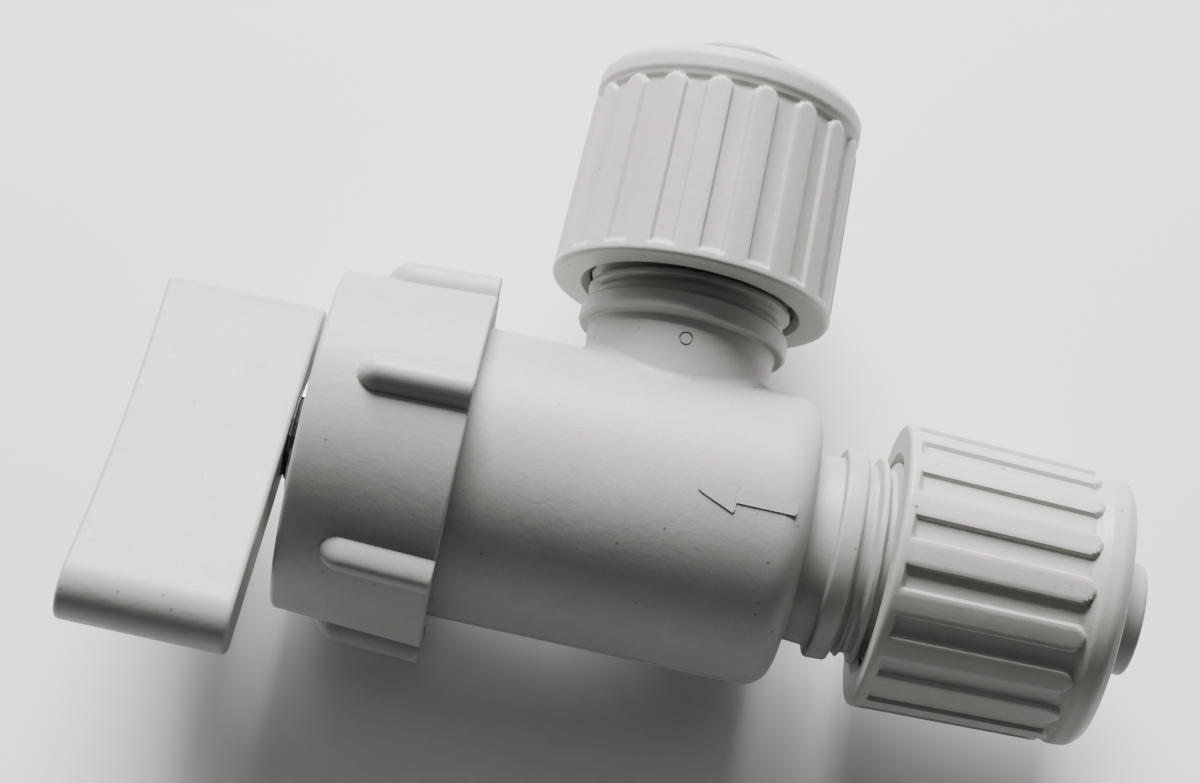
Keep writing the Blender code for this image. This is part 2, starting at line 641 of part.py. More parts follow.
def bevelled(mesh, width):
    base = bpy.data.objects.new("base", mesh)
    bpy.context.scene.collection.objects.link(base)
    shape = bmesh.new()
    shape.from_mesh(mesh)
    bmesh.ops.recalc_face_normals(shape, faces=shape.faces)
    shape.to_mesh(mesh)
    shape.free()
    modifier = base.modifiers.new("edges", "BEVEL")
    modifier.width = width
    modifier.segments = 2
    modifier.limit_method = "ANGLE"
    modifier.angle_limit = math.radians(50)
    graph = bpy.context.evaluated_depsgraph_get()
    result = bpy.data.meshes.new_from_object(base.evaluated_get(graph))
    bpy.data.objects.remove(base, do_unlink=True)
    return result


def flute_angles(port):
    """Angles round a compression nut, with each groove's two edges and two bottom corners."""
    pitch = FULL_TURN / FLUTE_COUNT
    half = FLUTE_SHARE / 2
    pattern = np.array([-half, FLUTE_SIDE - half, half - FLUTE_SIDE, half]) * pitch
    angles = np.concatenate([pattern + k * pitch for k in range(FLUTE_COUNT)]) + port["groove"]
    depth = np.tile([0.0, 1.0, 1.0, 0.0], FLUTE_COUNT)
    return np.append(angles, angles[0] + FULL_TURN), np.append(depth, 0.0)


def nut_outline(port, groove):
    """Outside of a compression nut: open rim, fluted grip, and a rounded shoulder."""
    rim = port["rim"]
    end = rim + NUT_LENGTH
    straight = end - NUT_SHOULDER_R
    flute_start = rim + RIM_BAND
    flute_end = straight - SHOULDER_BAND + NUT_SHOULDER_R / 2

    def land(station):
        return NUT_RIM_R + (NUT_END_R - NUT_RIM_R) * (station - rim) / (straight - rim)

    rows = [(rim, 0.0), (rim, NUT_RIM_R - 0.6 * MM), (rim + 0.5 * MM, NUT_RIM_R)]
    rows += [(flute_start, land(flute_start))]
    rows += [(flute_start + 0.4 * MM, land(flute_start) - FLUTE_DEPTH * groove)]
    rows += [(flute_end - 0.5 * MM, land(flute_end) - FLUTE_DEPTH * groove)]
    rows += [(flute_end, land(flute_end))]
    rows += arc_rows(straight, NUT_END_R - NUT_SHOULDER_R, NUT_SHOULDER_R, math.pi / 2, 0.0, 4)
    rows += [(end, 0.0)]
    return rows


def nut_space(port, angles):
    """Inside of a compression nut: thread, room for the cone and rings, and the tube's hole."""
    rim = port["rim"]
    end = rim + NUT_LENGTH
    high = NECK_CREST_R + THREAD_GAP
    low = NECK_ROOT_R + THREAD_GAP
    wall = end - NUT_END_WALL
    lead = NECK_LEAD
    first = math.ceil((rim + 0.8 * MM - neck_datum(port)) / (lead / 4))
    last = first + int(NUT_THREAD_LENGTH / (lead / 4))
    rows = [(rim - MM, 0.0), (rim - MM, high + 1.2 * MM), (rim + 0.5 * MM, high)]
    rows += thread_rows(neck_datum(port), lead, first, last, low, high, angles, inside=True)
    rows += [(wall - RING_LENGTH, high - 0.3 * MM), (wall, high - 0.3 * MM - RING_TAPER)]
    rows += [(wall, SOCKET_R + TUBE_SLIP), (end + MM, SOCKET_R + TUBE_SLIP), (end + MM, 0.0)]
    return rows


def make_port(prefix, port, frame, plastic, acetal, steel):
    """One compression port: nut, cone, spacer washer and split grip ring."""
    angles, groove = flute_angles(port)
    inner_angles = even_angles(NECK_SIDES)
    nut = cut(turned(nut_outline(port, groove), angles),
              turned(nut_space(port, inner_angles), inner_angles))
    add(prefix + "_nut", nut, port["rim"], frame, plastic)

    neck_end = port["rim"] + NECK_LENGTH_PAST_RIM
    wall = port["rim"] + NUT_LENGTH - NUT_END_WALL
    ring_back = wall - REST_GAP
    ring_front = ring_back - RING_LENGTH
    spacer_front = ring_front - REST_GAP - SPACER_THICKNESS
    collar_back = spacer_front - REST_GAP
    collar_r = NECK_CREST_R - 0.9 * MM
    inner_r = SOCKET_R - 0.05 * MM
    mouth_r = SOCKET_R + MOUTH_TAPER
    slope = MOUTH_TAPER / MOUTH_TAPER_LENGTH
    reach = MOUTH_TAPER_LENGTH * 0.6
    tip_r = mouth_r - slope * reach - REST_GAP * 0.8
    cone = [(neck_end - reach, tip_r), (neck_end + REST_GAP, mouth_r - 0.2 * MM)]
    cone += [(neck_end + REST_GAP, collar_r), (collar_back, collar_r)]
    cone += [(collar_back, inner_r), (neck_end - reach, inner_r - 0.1 * MM)]
    add(prefix + "_cone", turned_ring(cone, even_angles(ROUND_SIDES)), neck_end, frame, acetal)

    spacer = washer_mesh(spacer_front, SPACER_THICKNESS, inner_r, collar_r)
    add(prefix + "_spacer", spacer, spacer_front, frame, steel)

    ring_r = NECK_CREST_R + THREAD_GAP - 0.3 * MM - REST_GAP - 0.15 * MM
    ring = [(ring_front, ring_r - 0.2 * MM), (ring_back, ring_r - RING_TAPER - 0.2 * MM)]
    ring += [(ring_back, inner_r), (ring_front, inner_r)]
    split = box_mesh((ring_front - MM, -RING_SPLIT / 2, -2 * ring_r),
                     (ring_back + MM, RING_SPLIT / 2, 0.0))
    grip = cut(turned_ring(ring, even_angles(ROUND_SIDES)), split)
    add(prefix + "_grip_ring", grip, ring_front, frame, acetal)


def main():
    clear_scene()
    centre = empty("valve_centre", (-INLET["mouth"], 0.0, 0.0))
    branch = empty("outlet_axis", (0.0, 0.0, 0.0), centre, math.pi / 2)
    grey = material("grey_plastic", (0.42, 0.41, 0.395), 0.5)
    black = material("black_plastic", (0.05, 0.05, 0.05), 0.5)
    white = material("off_white_plastic", (0.50, 0.49, 0.465), 0.45)
    acetal = material("white_acetal", (0.80, 0.80, 0.78), 0.4)
    rubber = material("black_rubber", (0.03, 0.03, 0.03), 0.7)
    slick = material("slip_plastic", (0.85, 0.84, 0.80), 0.35)
    steel = material("stainless_steel", (0.62, 0.61, 0.59), 0.3, 1.0)
    brass = material("brass", (0.75, 0.56, 0.28), 0.3, 1.0)
    make_body(centre, grey)
    make_bonnet(centre, black)
    make_stem(centre, black)
    make_stem_seals(centre, rubber, slick, steel)
    make_plunger(centre, acetal)
    make_diaphragm(centre, rubber, brass)
    make_slip_ring(centre, slick)
    make_bonnet_nut(centre, grey)
    make_handle(centre, grey, steel)
    make_port("inlet", INLET, centre, white, acetal, steel)
    make_port("outlet", OUTLET, branch, white, acetal, steel)


main()
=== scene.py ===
"""Looks of a plastic diaphragm stop valve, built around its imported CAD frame."""
import math

import bmesh
import bpy
import numpy as np
from mathutils import Matrix, Vector


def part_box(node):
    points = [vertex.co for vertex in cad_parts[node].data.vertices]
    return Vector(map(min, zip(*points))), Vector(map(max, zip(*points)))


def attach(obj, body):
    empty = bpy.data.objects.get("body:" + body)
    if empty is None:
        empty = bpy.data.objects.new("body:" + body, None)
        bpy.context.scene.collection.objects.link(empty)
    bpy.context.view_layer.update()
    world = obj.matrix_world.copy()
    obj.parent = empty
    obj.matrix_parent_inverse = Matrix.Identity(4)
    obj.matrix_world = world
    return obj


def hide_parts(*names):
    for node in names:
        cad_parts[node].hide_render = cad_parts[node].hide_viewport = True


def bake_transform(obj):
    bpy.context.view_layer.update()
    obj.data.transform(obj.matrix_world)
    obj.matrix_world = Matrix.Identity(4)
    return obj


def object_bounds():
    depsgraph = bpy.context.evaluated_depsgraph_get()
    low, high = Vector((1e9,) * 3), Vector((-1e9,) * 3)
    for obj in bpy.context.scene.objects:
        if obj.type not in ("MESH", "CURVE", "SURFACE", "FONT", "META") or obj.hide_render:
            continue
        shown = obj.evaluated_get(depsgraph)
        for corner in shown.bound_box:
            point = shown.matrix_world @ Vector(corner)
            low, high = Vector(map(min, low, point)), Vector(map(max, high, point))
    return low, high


bl_info = {
    "name": "Diaphragm valve looks",
    "version": (1, 0, 0),
    "blender": (4, 5, 0),
    "location": "View3D > Sidebar > Valve",
    "description": "Builds the visible surfaces, finishes and stage of a plastic diaphragm valve",
    "category": "Object",
}

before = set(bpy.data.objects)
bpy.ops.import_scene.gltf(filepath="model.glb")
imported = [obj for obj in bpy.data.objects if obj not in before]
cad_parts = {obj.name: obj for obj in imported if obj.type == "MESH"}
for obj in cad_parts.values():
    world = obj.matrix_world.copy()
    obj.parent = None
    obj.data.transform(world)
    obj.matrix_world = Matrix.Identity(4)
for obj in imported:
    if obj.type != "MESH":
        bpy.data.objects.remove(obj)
CAD_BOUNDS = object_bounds()

MM = 0.001
TURN = 2 * math.pi


def span(node):
    """The low and high corner of a CAD node, as two vectors."""
    low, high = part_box(node)
    return Vector(low), Vector(high)


# Places that the CAD frame fixes
BODY_LOW, BODY_HIGH = span("valve_body")
INLET_NUT_LOW, INLET_NUT_HIGH = span("inlet_nut")
OUTLET_NUT_LOW, OUTLET_NUT_HIGH = span("outlet_nut")
BONNET_NUT_LOW, BONNET_NUT_HIGH = span("bonnet_nut")
HANDLE_LOW, HANDLE_HIGH = span("handle")
DIAPHRAGM_LOW, DIAPHRAGM_HIGH = span("diaphragm")
STEM_FRONT = span("stem")[0].x
BRANCH_X = (OUTLET_NUT_LOW.x + OUTLET_NUT_HIGH.x) / 2

# Shape of the mouldings: radii, lengths, and stations from the crossing of the two axes
BARREL_R = 15.85 * MM
BARREL_END = 16.5 * MM
BARREL_FILLET = 3.0 * MM
CHAMBER_R = 12.2 * MM
CHAMBER_FLOOR = 12.5 * MM
SEAT_STATION = -22.4 * MM
NOZZLE_R = 6.8 * MM
BORE_R = 4.6 * MM
INSERT_R = 6.15 * MM
SOCKET_R = 8.15 * MM
SOCKET_DEPTH = 16.0 * MM
MOUTH_TAPER = 0.9 * MM
MOUTH_TAPER_LENGTH = 3.0 * MM
NECK_PAST_RIM = 11.0 * MM
NECK_ROOT_R = 10.2 * MM
NECK_DEPTH = 0.95 * MM
NECK_LEAD = 2.0 * MM
NECK_RUNOUT = 1.4 * MM
FLANGE_R = 11.5 * MM
FLANGE_WIDTH = 2.4 * MM
BONNET_LEAD = 2.2 * MM
BONNET_DEPTH = 1.0 * MM
THREAD_GAP = 0.3 * MM
THREAD_START = FLANGE_WIDTH + 0.4 * MM  # from a flange's near face to the neck's thread
INLET_FLANGE = 19.75 * MM
OUTLET_FLANGE = 19.4 * MM
FLASH_WIDTH = 0.10 * MM
LUGS = 6
RIBS = 18
SCREW_BRIDGE = 3.5 * MM  # of the handle, between its screw recess and the stem
EJECTOR_Y = 17.0 * MM
FLOOR_SIZE = 3.0
FLOOR_GAP = 0.2 * MM

# Spacing of the rows and columns of points, and how the meshes are finished
THREAD_ROWS = 0.16 * MM
BARREL_THREAD_ROWS = 0.2 * MM
BARREL_ROWS = 1.2 * MM
LUG_ROWS = 0.2 * MM
RIB_ROWS = 0.22 * MM
BARREL_COLUMNS = 168
BRANCH_COLUMNS = 144
MERGE_DISTANCE = 0.0002 * MM
SHARP_ANGLE = math.radians(38)


# ---------------------------------------------------------------- surfaces

def rounded_outline(corners, steps=6, closed=True):
    """Outline with its corners rounded.

    Each corner is (x, r, fillet). A fillet is the circle arc that touches both sides of its
    corner: its centre lies on the corner's bisector, and the arc runs between the two tangent
    points. The result is one array of (x, r) rows."""
    points = np.array([corner[:2] for corner in corners])
    count = len(points)
    rows = []
    for k, (x, r, fillet) in enumerate(corners):
        here = points[k]
        if fillet <= 0 or (not closed and k in (0, count - 1)):
            rows.append(here[None])
            continue
        back = points[k - 1] - here
        ahead = points[(k + 1) % count] - here
        back_unit = back / np.linalg.norm(back)
        ahead_unit = ahead / np.linalg.norm(ahead)
        opening = math.acos(float(np.clip(back_unit @ ahead_unit, -1, 1)))
        reach = fillet / math.tan(opening / 2)
        bisector = (back_unit + ahead_unit) / np.linalg.norm(back_unit + ahead_unit)
        centre = here + bisector * fillet / math.sin(opening / 2)
        start = here + back_unit * reach - centre
        stop = here + ahead_unit * reach - centre
        share = np.linspace(0, 1, steps + 1)[:, None]
        sweep = math.pi - opening
        arc = (np.sin((1 - share) * sweep) * start + np.sin(share * sweep) * stop) / math.sin(sweep)
        rows.append(centre + arc)
    return np.concatenate(rows)


def split_runs(outline, steps_between, closed=True):
    """The outline with each run between two rows cut into equal steps, as many as a rule says."""
    count = len(outline) if closed else len(outline) - 1
    rows = []
    for here, after in list(zip(outline, np.roll(outline, -1, axis=0)))[:count]:
        share = np.linspace(0, 1, steps_between(here, after) + 1)[:-1, None]
        rows.append(here + (after - here) * share)
    if not closed:
        rows.append(outline[-1:])
    return np.concatenate(rows)


def refined(outline, start, stop, spacing, closed=True):
    """The outline with extra rows between two stations, wherever its rows are further apart."""
    def steps(here, after):
        length = np.linalg.norm(after - here)
        low, high = sorted((here[0], after[0]))
        inside = low >= start - spacing and high <= stop + spacing
        return int(length / spacing) + 1 if inside and length > spacing else 1

    return split_runs(outline, steps, closed)


def mesh_from_grid(name, points, close_rows=False):
    """A mesh from a grid of points, rows by columns, whose last column meets its first."""
    rows, columns = points.shape[:2]
    index = np.arange(rows * columns).reshape(rows, columns)
    after = np.roll(index, -1, axis=1)
    if close_rows:
        below, after_below = np.roll(index, -1, axis=0), np.roll(after, -1, axis=0)
    else:
        below, after_below = index[1:], after[1:]
        index, after = index[:-1], after[:-1]
    quads = np.stack([index, after, after_below, below], axis=-1).reshape(-1, 4)
    mesh = bpy.data.meshes.new(name)
    mesh.from_pydata(points.reshape(-1, 3).tolist(), [], quads.tolist())
    return mesh


def swept(name, station, radius, angles, axis="X", place=(0.0, 0.0, 0.0), close_rows=True):
    """A surface of revolution whose station and radius may change with the angle.

    A point is at its station along the axis, and at radius times (cosine, sine) of its angle
    across it. Along Y the surface is turned a quarter turn about Z, so that angle zero points
    to minus X."""
    station = np.broadcast_to(station, radius.shape)
    across = radius * np.cos(angles)
    up = radius * np.sin(angles)
    if axis == "X":
        points = np.stack([station, across, up], axis=-1)
    else:
        points = np.stack([-across, station, up], axis=-1)
    mesh = mesh_from_grid(name, points + np.array(place), close_rows)
    return tidy_mesh(mesh)


def shaded(mesh):
    """The mesh, shaded smooth except at its sharp edges."""
    mesh.shade_smooth()
    mesh.set_sharp_from_angle(angle=SHARP_ANGLE)
    return mesh


def tidy_mesh(mesh):
    """The mesh with points that meet merged, and shaded."""
    shape = bmesh.new()
    shape.from_mesh(mesh)
    bmesh.ops.remove_doubles(shape, verts=shape.verts, dist=MERGE_DISTANCE)
    bmesh.ops.dissolve_degenerate(shape, edges=shape.edges, dist=MERGE_DISTANCE)
    shape.to_mesh(mesh)
    shape.free()
    return shaded(mesh)


def combined(mesh, other, operation):
    """The exact union or difference of two closed meshes."""
    base = bpy.data.objects.new("base", mesh)
    tool = bpy.data.objects.new("tool", other)
    for item in (base, tool):
        bpy.context.scene.collection.objects.link(item)
    modifier = base.modifiers.new("combine", "BOOLEAN")
    modifier.operation = operation
    modifier.solver = "EXACT"
    modifier.object = tool
    graph = bpy.context.evaluated_depsgraph_get()
    result = bpy.data.meshes.new_from_object(base.evaluated_get(graph))
    for item in (base, tool):
        bpy.data.objects.remove(item, do_unlink=True)
    return tidy_mesh(result)


def joined(mesh, other):
    """Both meshes in one, where the second only dips into the first."""
    shape = bmesh.new()
    shape.from_mesh(mesh)
    shape.from_mesh(other)
    shape.to_mesh(mesh)
    shape.free()
    return shaded(mesh)


def ridge(station, angles, datum, lead, first, last, depth):
    """Height of a right-hand thread: a rounded ridge once a lead along the helix.

    The phase is the station less the lead's share of the angle. The ridge is a smooth step up
    and down over a quarter of the lead each, and it fades out over half a lead at both ends.
    Its first and last station are given in quarters of the lead from the datum."""
    phase = ((station - datum) / lead - angles / TURN) % 1.0
    rise = (phase - 0.25) / 0.25
    fall = (1.0 - phase) / 0.25
    shape = smooth_step(np.minimum(rise, fall))
    start = datum + first * lead / 4
    stop = datum + last * lead / 4
    fade = np.clip(np.minimum(station - start, stop - station) / (lead / 2), 0, 1)
    return depth * shape * fade


def smooth_step(value):
    """Zero below zero and one above one; between, 3 times its square less twice its cube."""
    value = np.clip(value, 0, 1)
    return value * value * (3 - 2 * value)


def parting_angles(columns, width):
    """Even angles, with a few more at 0 and 180 degrees for the mould's parting line."""
    even = np.linspace(0, TURN, columns, endpoint=False)
    near = np.array([-2.0, -1.0, -0.4, 0.4, 1.0, 2.0]) * width
    extra = np.concatenate([near, near + math.pi]) % TURN
    return np.unique(np.round(np.concatenate([even, extra]), 6))


def parting_ridge(angles, width, height):
    """Height of the thin flash where the mould's halves meet, at 0 and 180 degrees."""
    away = np.abs((angles + math.pi / 2) % math.pi - math.pi / 2)
    return height * np.clip(1.4 - away / width, 0, 1)


def make_piece(name, mesh, body, finish, node):
    """Links a finished mesh as a piece that stands for a CAD node and rides on a body, if any."""
    piece = bpy.data.objects.new(name, mesh)
    bpy.context.scene.collection.objects.link(piece)
    mesh.materials.clear()
    mesh.materials.append(finish)
    if body:
        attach(piece, body)
    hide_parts(node)
    return piece


# ---------------------------------------------------------------- materials

class Socket:
    """A shader socket that adds Math nodes when it is used in an expression."""

    def __init__(self, finish, socket):
        self.finish = finish
        self.socket = socket

    def math(self, operation, other):
        """A Math node of this value and another value or number."""
        made = self.finish.node("ShaderNodeMath", {"operation": operation}, {0: self, 1: other})
        return Socket(self.finish, made.outputs[0])

    def __add__(self, other):
        return self.math("ADD", other)

    def __mul__(self, other):
        return self.math("MULTIPLY", other)

    def __rsub__(self, other):
        return (self * -1.0) + other

    def __sub__(self, other):
        return self.math("SUBTRACT", other)

    __radd__ = __add__
    __rmul__ = __mul__


class Finish:
    """A node material under construction."""

    def __init__(self, name):
        self.material = bpy.data.materials.new(name)
        self.material.use_nodes = True
        self.tree = self.material.node_tree
        self.shader = self.tree.nodes["Principled BSDF"]
        self.where = self.node("ShaderNodeTexCoord").outputs["Object"]

    def node(self, kind, settings=None, sockets=None):
        """Any node: its settings first, then its sockets' values or links, by name or place."""
        made = self.tree.nodes.new(kind)
        for name, value in (settings or {}).items():
            setattr(made, name, value)
        for key, value in (sockets or {}).items():
            self.feed(made.inputs[key], value)
        return made

    def feed(self, entry, value):
        """Links a socket into an entry, or sets the entry to a plain value."""
        if isinstance(value, Socket):
            value = value.socket
        if isinstance(value, bpy.types.NodeSocket):
            self.tree.links.new(value, entry)
        else:
            entry.default_value = value

    def connect(self, **values):
        """Feeds the shader's sockets, named with _ for each space."""
        for name, value in values.items():
            self.feed(self.shader.inputs[name.replace("_", " ")], value)

    def moved(self, offset):
        """The place on the object moved by an offset, so that no two patterns are alike."""
        return self.node("ShaderNodeMapping", sockets={
            "Vector": self.where, "Location": (offset,) * 3}).outputs[0]

    def noise(self, scale, detail=3.0, roughness=0.55, offset=0.0):
        """Cloudy noise from 0 to 1, with so many cells a metre."""
        made = self.node("ShaderNodeTexNoise", sockets={
            "Vector": self.moved(offset), "Scale": scale, "Detail": detail, "Roughness": roughness})
        return Socket(self, made.outputs["Fac"])

    def specks(self, scale, share, size, offset):
        """One inside small round spots: the middles of a few randomly picked cells."""
        cells = self.node("ShaderNodeTexVoronoi", sockets={
            "Vector": self.moved(offset), "Scale": scale})
        picked = self.node("ShaderNodeSeparateColor", sockets={"Color": cells.outputs["Color"]})
        chosen = self.ramp(picked.outputs[0], share, share + 0.005)
        near = self.ramp(cells.outputs["Distance"], size * 0.4, size)
        return chosen * (1.0 - near)

    def ramp(self, value, low, high):
        """Zero below low and one above high, with a straight line between."""
        made = self.node("ShaderNodeMapRange", {"clamp": True}, {
            "Value": value, "From Min": low, "From Max": high})
        return Socket(self, made.outputs[0])

    def mix(self, factor, first, second):
        """A colour between two colours or colour sockets."""
        entries = {0: factor, 6: first, 7: second}  # the places of a colour mix's sockets
        return self.node("ShaderNodeMix", {"data_type": "RGBA"}, entries).outputs[2]

    def bump(self, height, strength, distance):
        """Bends the shading by a height, as if it stood out by a distance."""
        made = self.node("ShaderNodeBump", sockets={
            "Height": height, "Strength": strength, "Distance": distance})
        self.connect(Normal=made.outputs[0])


def colour(values, gain=1.0):
    """A colour with its alpha, made lighter or darker by a gain."""
    return (values[0] * gain, values[1] * gain, values[2] * gain, 1.0)


def moulded_plastic(name, base, rough, speck_share=0.7, crevice_shade_strength=0.42):
    """Satin moulded plastic: cloudy colour, eroded grain, dark specks, smudges and painted shade in
    crevices.
    """
    finish = Finish(name)
    cloud = finish.ramp(finish.noise(95.0, 4.0), 0.3, 0.7)
    grain = finish.noise(2300.0, 3.0, 0.7, 0.7)
    mottle = finish.ramp(finish.noise(700.0, 3.0, 0.6, 5.3), 0.28, 0.72)
    tone = finish.mix(cloud, colour(base, 0.94), colour(base, 1.06))
    tone = finish.mix(mottle * 0.5, tone, colour((base[0] * 0.87, base[1] * 0.86, base[2] * 0.84)))
    tone = finish.mix(finish.ramp(grain, 0.3, 0.7) * 0.45, tone, colour(base, 0.84))
    smudge = finish.ramp(finish.noise(170.0, 5.0, 0.7, 8.0), 0.6, 0.78)
    tone = finish.mix(smudge * 0.3, tone, colour((base[0] * 0.7, base[1] * 0.69, base[2] * 0.66)))
    speck = finish.specks(330.0, 0.955, 0.11, 0.0) * speck_share
    dot = finish.specks(900.0, 0.97, 0.22, 4.0) * speck_share
    tone = finish.mix(speck, tone, (0.05, 0.04, 0.03, 1.0))
    tone = finish.mix(dot * 0.8, tone, (0.09, 0.08, 0.07, 1.0))
    # Painted shade: ambient occlusion darkens creases, recesses and the feet of lugs and flanges
    # towards near-black, in noisy patches.
    shade = finish.node("ShaderNodeAmbientOcclusion", {"samples": 8}, {"Distance": 1.8 * MM})
    patches = finish.ramp(finish.noise(260.0, 3.0, 0.6, 3.1), 0.2, 0.7) * 0.6 + 0.4
    painted_crevice_shade = (1.0 - Socket(finish, shade.outputs["AO"])) * patches * crevice_shade_strength
    tone = finish.mix(painted_crevice_shade, tone, (0.06, 0.05, 0.045, 1.0))
    gloss = cloud * 0.08 + grain * 0.1 + smudge * 0.1 + (rough - 0.1)
    finish.connect(Base_Color=tone, Roughness=gloss, Specular_IOR_Level=0.42)
    finish.bump(grain * 0.7 + mottle * 0.5 - speck * 0.6, 0.3, 0.09 * MM)
    return finish.material


def smooth_plastic(name, base, rough):
    """A clean machined or moulded inner part: faint swirl marks and even colour."""
    finish = Finish(name)
    cloud = finish.noise(140.0, 3.0)
    swirl = finish.noise(2200.0, 2.0, 0.5, 1.3)
    tone = finish.mix(finish.ramp(cloud, 0.3, 0.7), colour(base, 0.96), colour(base, 1.02))
    finish.connect(Base_Color=tone, Roughness=swirl * 0.12 + (rough - 0.06))
    finish.bump(swirl, 0.1, 0.03 * MM)
    return finish.material


def rubber(name):
    """Black moulded rubber with a dusty bloom and fine pitting."""
    finish = Finish(name)
    bloom = finish.ramp(finish.noise(200.0, 4.0), 0.45, 0.8)
    pits = finish.noise(1800.0, 3.0, 0.65, 2.2)
    tone = finish.mix(bloom, (0.018, 0.018, 0.019, 1.0), (0.05, 0.05, 0.05, 1.0))
    finish.connect(Base_Color=tone, Roughness=bloom * 0.2 + 0.55)
    finish.bump(pits, 0.25, 0.05 * MM)
    return finish.material


def metal(name, base, rough, tarnish):
    """Turned or stamped metal: fine tool lines round the axis, and a little tarnish."""
    finish = Finish(name)
    stretched = finish.node("ShaderNodeMapping", sockets={
        "Vector": finish.where, "Scale": (6.0, 1.0, 1.0)})
    turned = finish.node("ShaderNodeTexNoise", sockets={
        "Vector": stretched.outputs[0], "Scale": 1400.0, "Detail": 2.0})
    lines = Socket(finish, turned.outputs["Fac"])
    stain = finish.ramp(finish.noise(220.0, 4.0), 0.45, 0.75)
    tone = finish.mix(stain * 0.5, colour(base), colour(tarnish))
    gloss = lines * 0.15 + stain * 0.15 + (rough - 0.08)
    finish.connect(Base_Color=tone, Roughness=gloss, Metallic=1.0)
    finish.bump(lines, 0.12, 0.02 * MM)
    return finish.material


FINISHES = {}


def finish_for(kind):
    """The shared material of one kind, made once from the panel's colours."""
    if kind not in FINISHES:
        looks = bpy.context.scene.valve_finishes
        makers = {
            "body": lambda: moulded_plastic("grey_plastic", looks.body_colour, looks.roughness),
            "nut": lambda: moulded_plastic("off_white_plastic", looks.nut_colour,
                                           looks.roughness - 0.03, 0.9, 0.42),
            # The bonnet and stem are near-black as painted shade, so that the gap between the
            # handle and the bonnet nut reads as deep shade.
            "black": lambda: moulded_plastic("black_plastic", looks.bonnet_shade_colour, 0.8, 0.2, 0.3),
            "acetal": lambda: smooth_plastic("white_acetal", looks.acetal_colour, 0.38),
            "slip": lambda: smooth_plastic("slip_plastic", looks.slip_colour, 0.3),
            "rubber": lambda: rubber("black_rubber"),
            "steel": lambda: metal("stainless_steel", (0.60, 0.59, 0.57), 0.32, (0.45, 0.43, 0.40)),
            "brass": lambda: metal("turned_brass", (0.72, 0.52, 0.24), 0.3, (0.42, 0.27, 0.12)),
        }
        FINISHES[kind] = makers[kind]()
    return FINISHES[kind]


# ---------------------------------------------------------------- pieces

def neck_corners(flange, rim, mouth):
    """Corners of one port: neck, flange, socket for the tube, insert and bore."""
    neck_end = rim + NECK_PAST_RIM
    bottom = neck_end - SOCKET_DEPTH
    return [
        (flange, NECK_ROOT_R + 0.15 * MM, 0.25 * MM),
        (flange, FLANGE_R, 0.4 * MM),
        (flange + FLANGE_WIDTH, FLANGE_R - 0.1 * MM, 0.4 * MM),
        (flange + FLANGE_WIDTH, NECK_ROOT_R, 0.15 * MM),
        (neck_end, NECK_ROOT_R - 0.1 * MM, 0.3 * MM),
        (neck_end, SOCKET_R + MOUTH_TAPER, 0.1 * MM),
        (neck_end - MOUTH_TAPER_LENGTH, SOCKET_R, 0.3 * MM),
        (bottom, SOCKET_R, 0.3 * MM),
        (bottom, INSERT_R, 0.3 * MM),
        (mouth, INSERT_R, 0.5 * MM),
        (mouth, BORE_R, 0.25 * MM),
    ]


def neck_thread(station, angles, radius, flange, neck_end):
    """Height of the neck's thread, on the rows that lie on its outside."""
    datum = flange + THREAD_START
    quarters = int((neck_end - NECK_RUNOUT - datum) / (NECK_LEAD / 4))
    outside = (radius > NECK_ROOT_R - 0.2 * MM) & (station > datum) & (station < neck_end)
    height = ridge(station, angles, datum, NECK_LEAD, 0, quarters, NECK_DEPTH)
    return np.where(outside, height, 0.0)


def body_mesh(flash):
    """The whole body: barrel with its necks, inserts, chamber and nozzle, and raised marks."""
    mouth = BODY_HIGH.x - BRANCH_X
    rim = INLET_NUT_LOW.x - BRANCH_X
    barrel_mouth = BODY_LOW.x - BRANCH_X
    neck_end = rim + NECK_PAST_RIM
    corners = [
        (barrel_mouth, CHAMBER_R, 0.3 * MM),
        (barrel_mouth, BARREL_R, 0.35 * MM),
        (BARREL_END, BARREL_R, BARREL_FILLET),
        (BARREL_END, NECK_ROOT_R - 0.1 * MM, 0.5 * MM),
        *neck_corners(INLET_FLANGE, rim, mouth),
        (SEAT_STATION, BORE_R, 0.4 * MM),
        (SEAT_STATION, NOZZLE_R, 0.5 * MM),
        (CHAMBER_FLOOR, NOZZLE_R, 0.8 * MM),
        (CHAMBER_FLOOR, CHAMBER_R, 0.8 * MM),
    ]
    outline = rounded_outline(corners)
    outline = refined(outline, INLET_FLANGE + FLANGE_WIDTH, neck_end, THREAD_ROWS)
    outline = densify_barrel(outline, barrel_mouth)
    width = FLASH_WIDTH / BARREL_R
    angles = parting_angles(BARREL_COLUMNS, width)
    station = outline[:, :1]
    radius = np.repeat(outline[:, 1:], len(angles), axis=1)
    outer = outside_of(outline)[:, None]
    bonnet = ridge(station, angles, barrel_mouth, BONNET_LEAD, 1, 8, BONNET_DEPTH)
    on_barrel = outer & (station < BARREL_END - BARREL_FILLET)
    threads = np.where(on_barrel, bonnet, 0.0)
    threads = threads + neck_thread(station, angles, radius, INLET_FLANGE, neck_end)
    visible = outer & (station > BONNET_NUT_HIGH.x - BRANCH_X - 2 * MM)
    seam = np.where(visible, parting_ridge(angles, width, flash), 0.0)
    place = (BRANCH_X, 0.0, 0.0)
    barrel = swept("valve_body", station, radius + np.maximum(threads, seam), angles, place=place)
    branch = combined(branch_mesh(flash), ejector_ring(), "DIFFERENCE")
    barrel = combined(barrel, branch, "UNION")
    bore = bar("Y", (NOZZLE_R + CHAMBER_R) / 2, BODY_HIGH.y + MM, BORE_R, 96)
    return joined(combined(barrel, bore, "DIFFERENCE"), arrow_mesh())


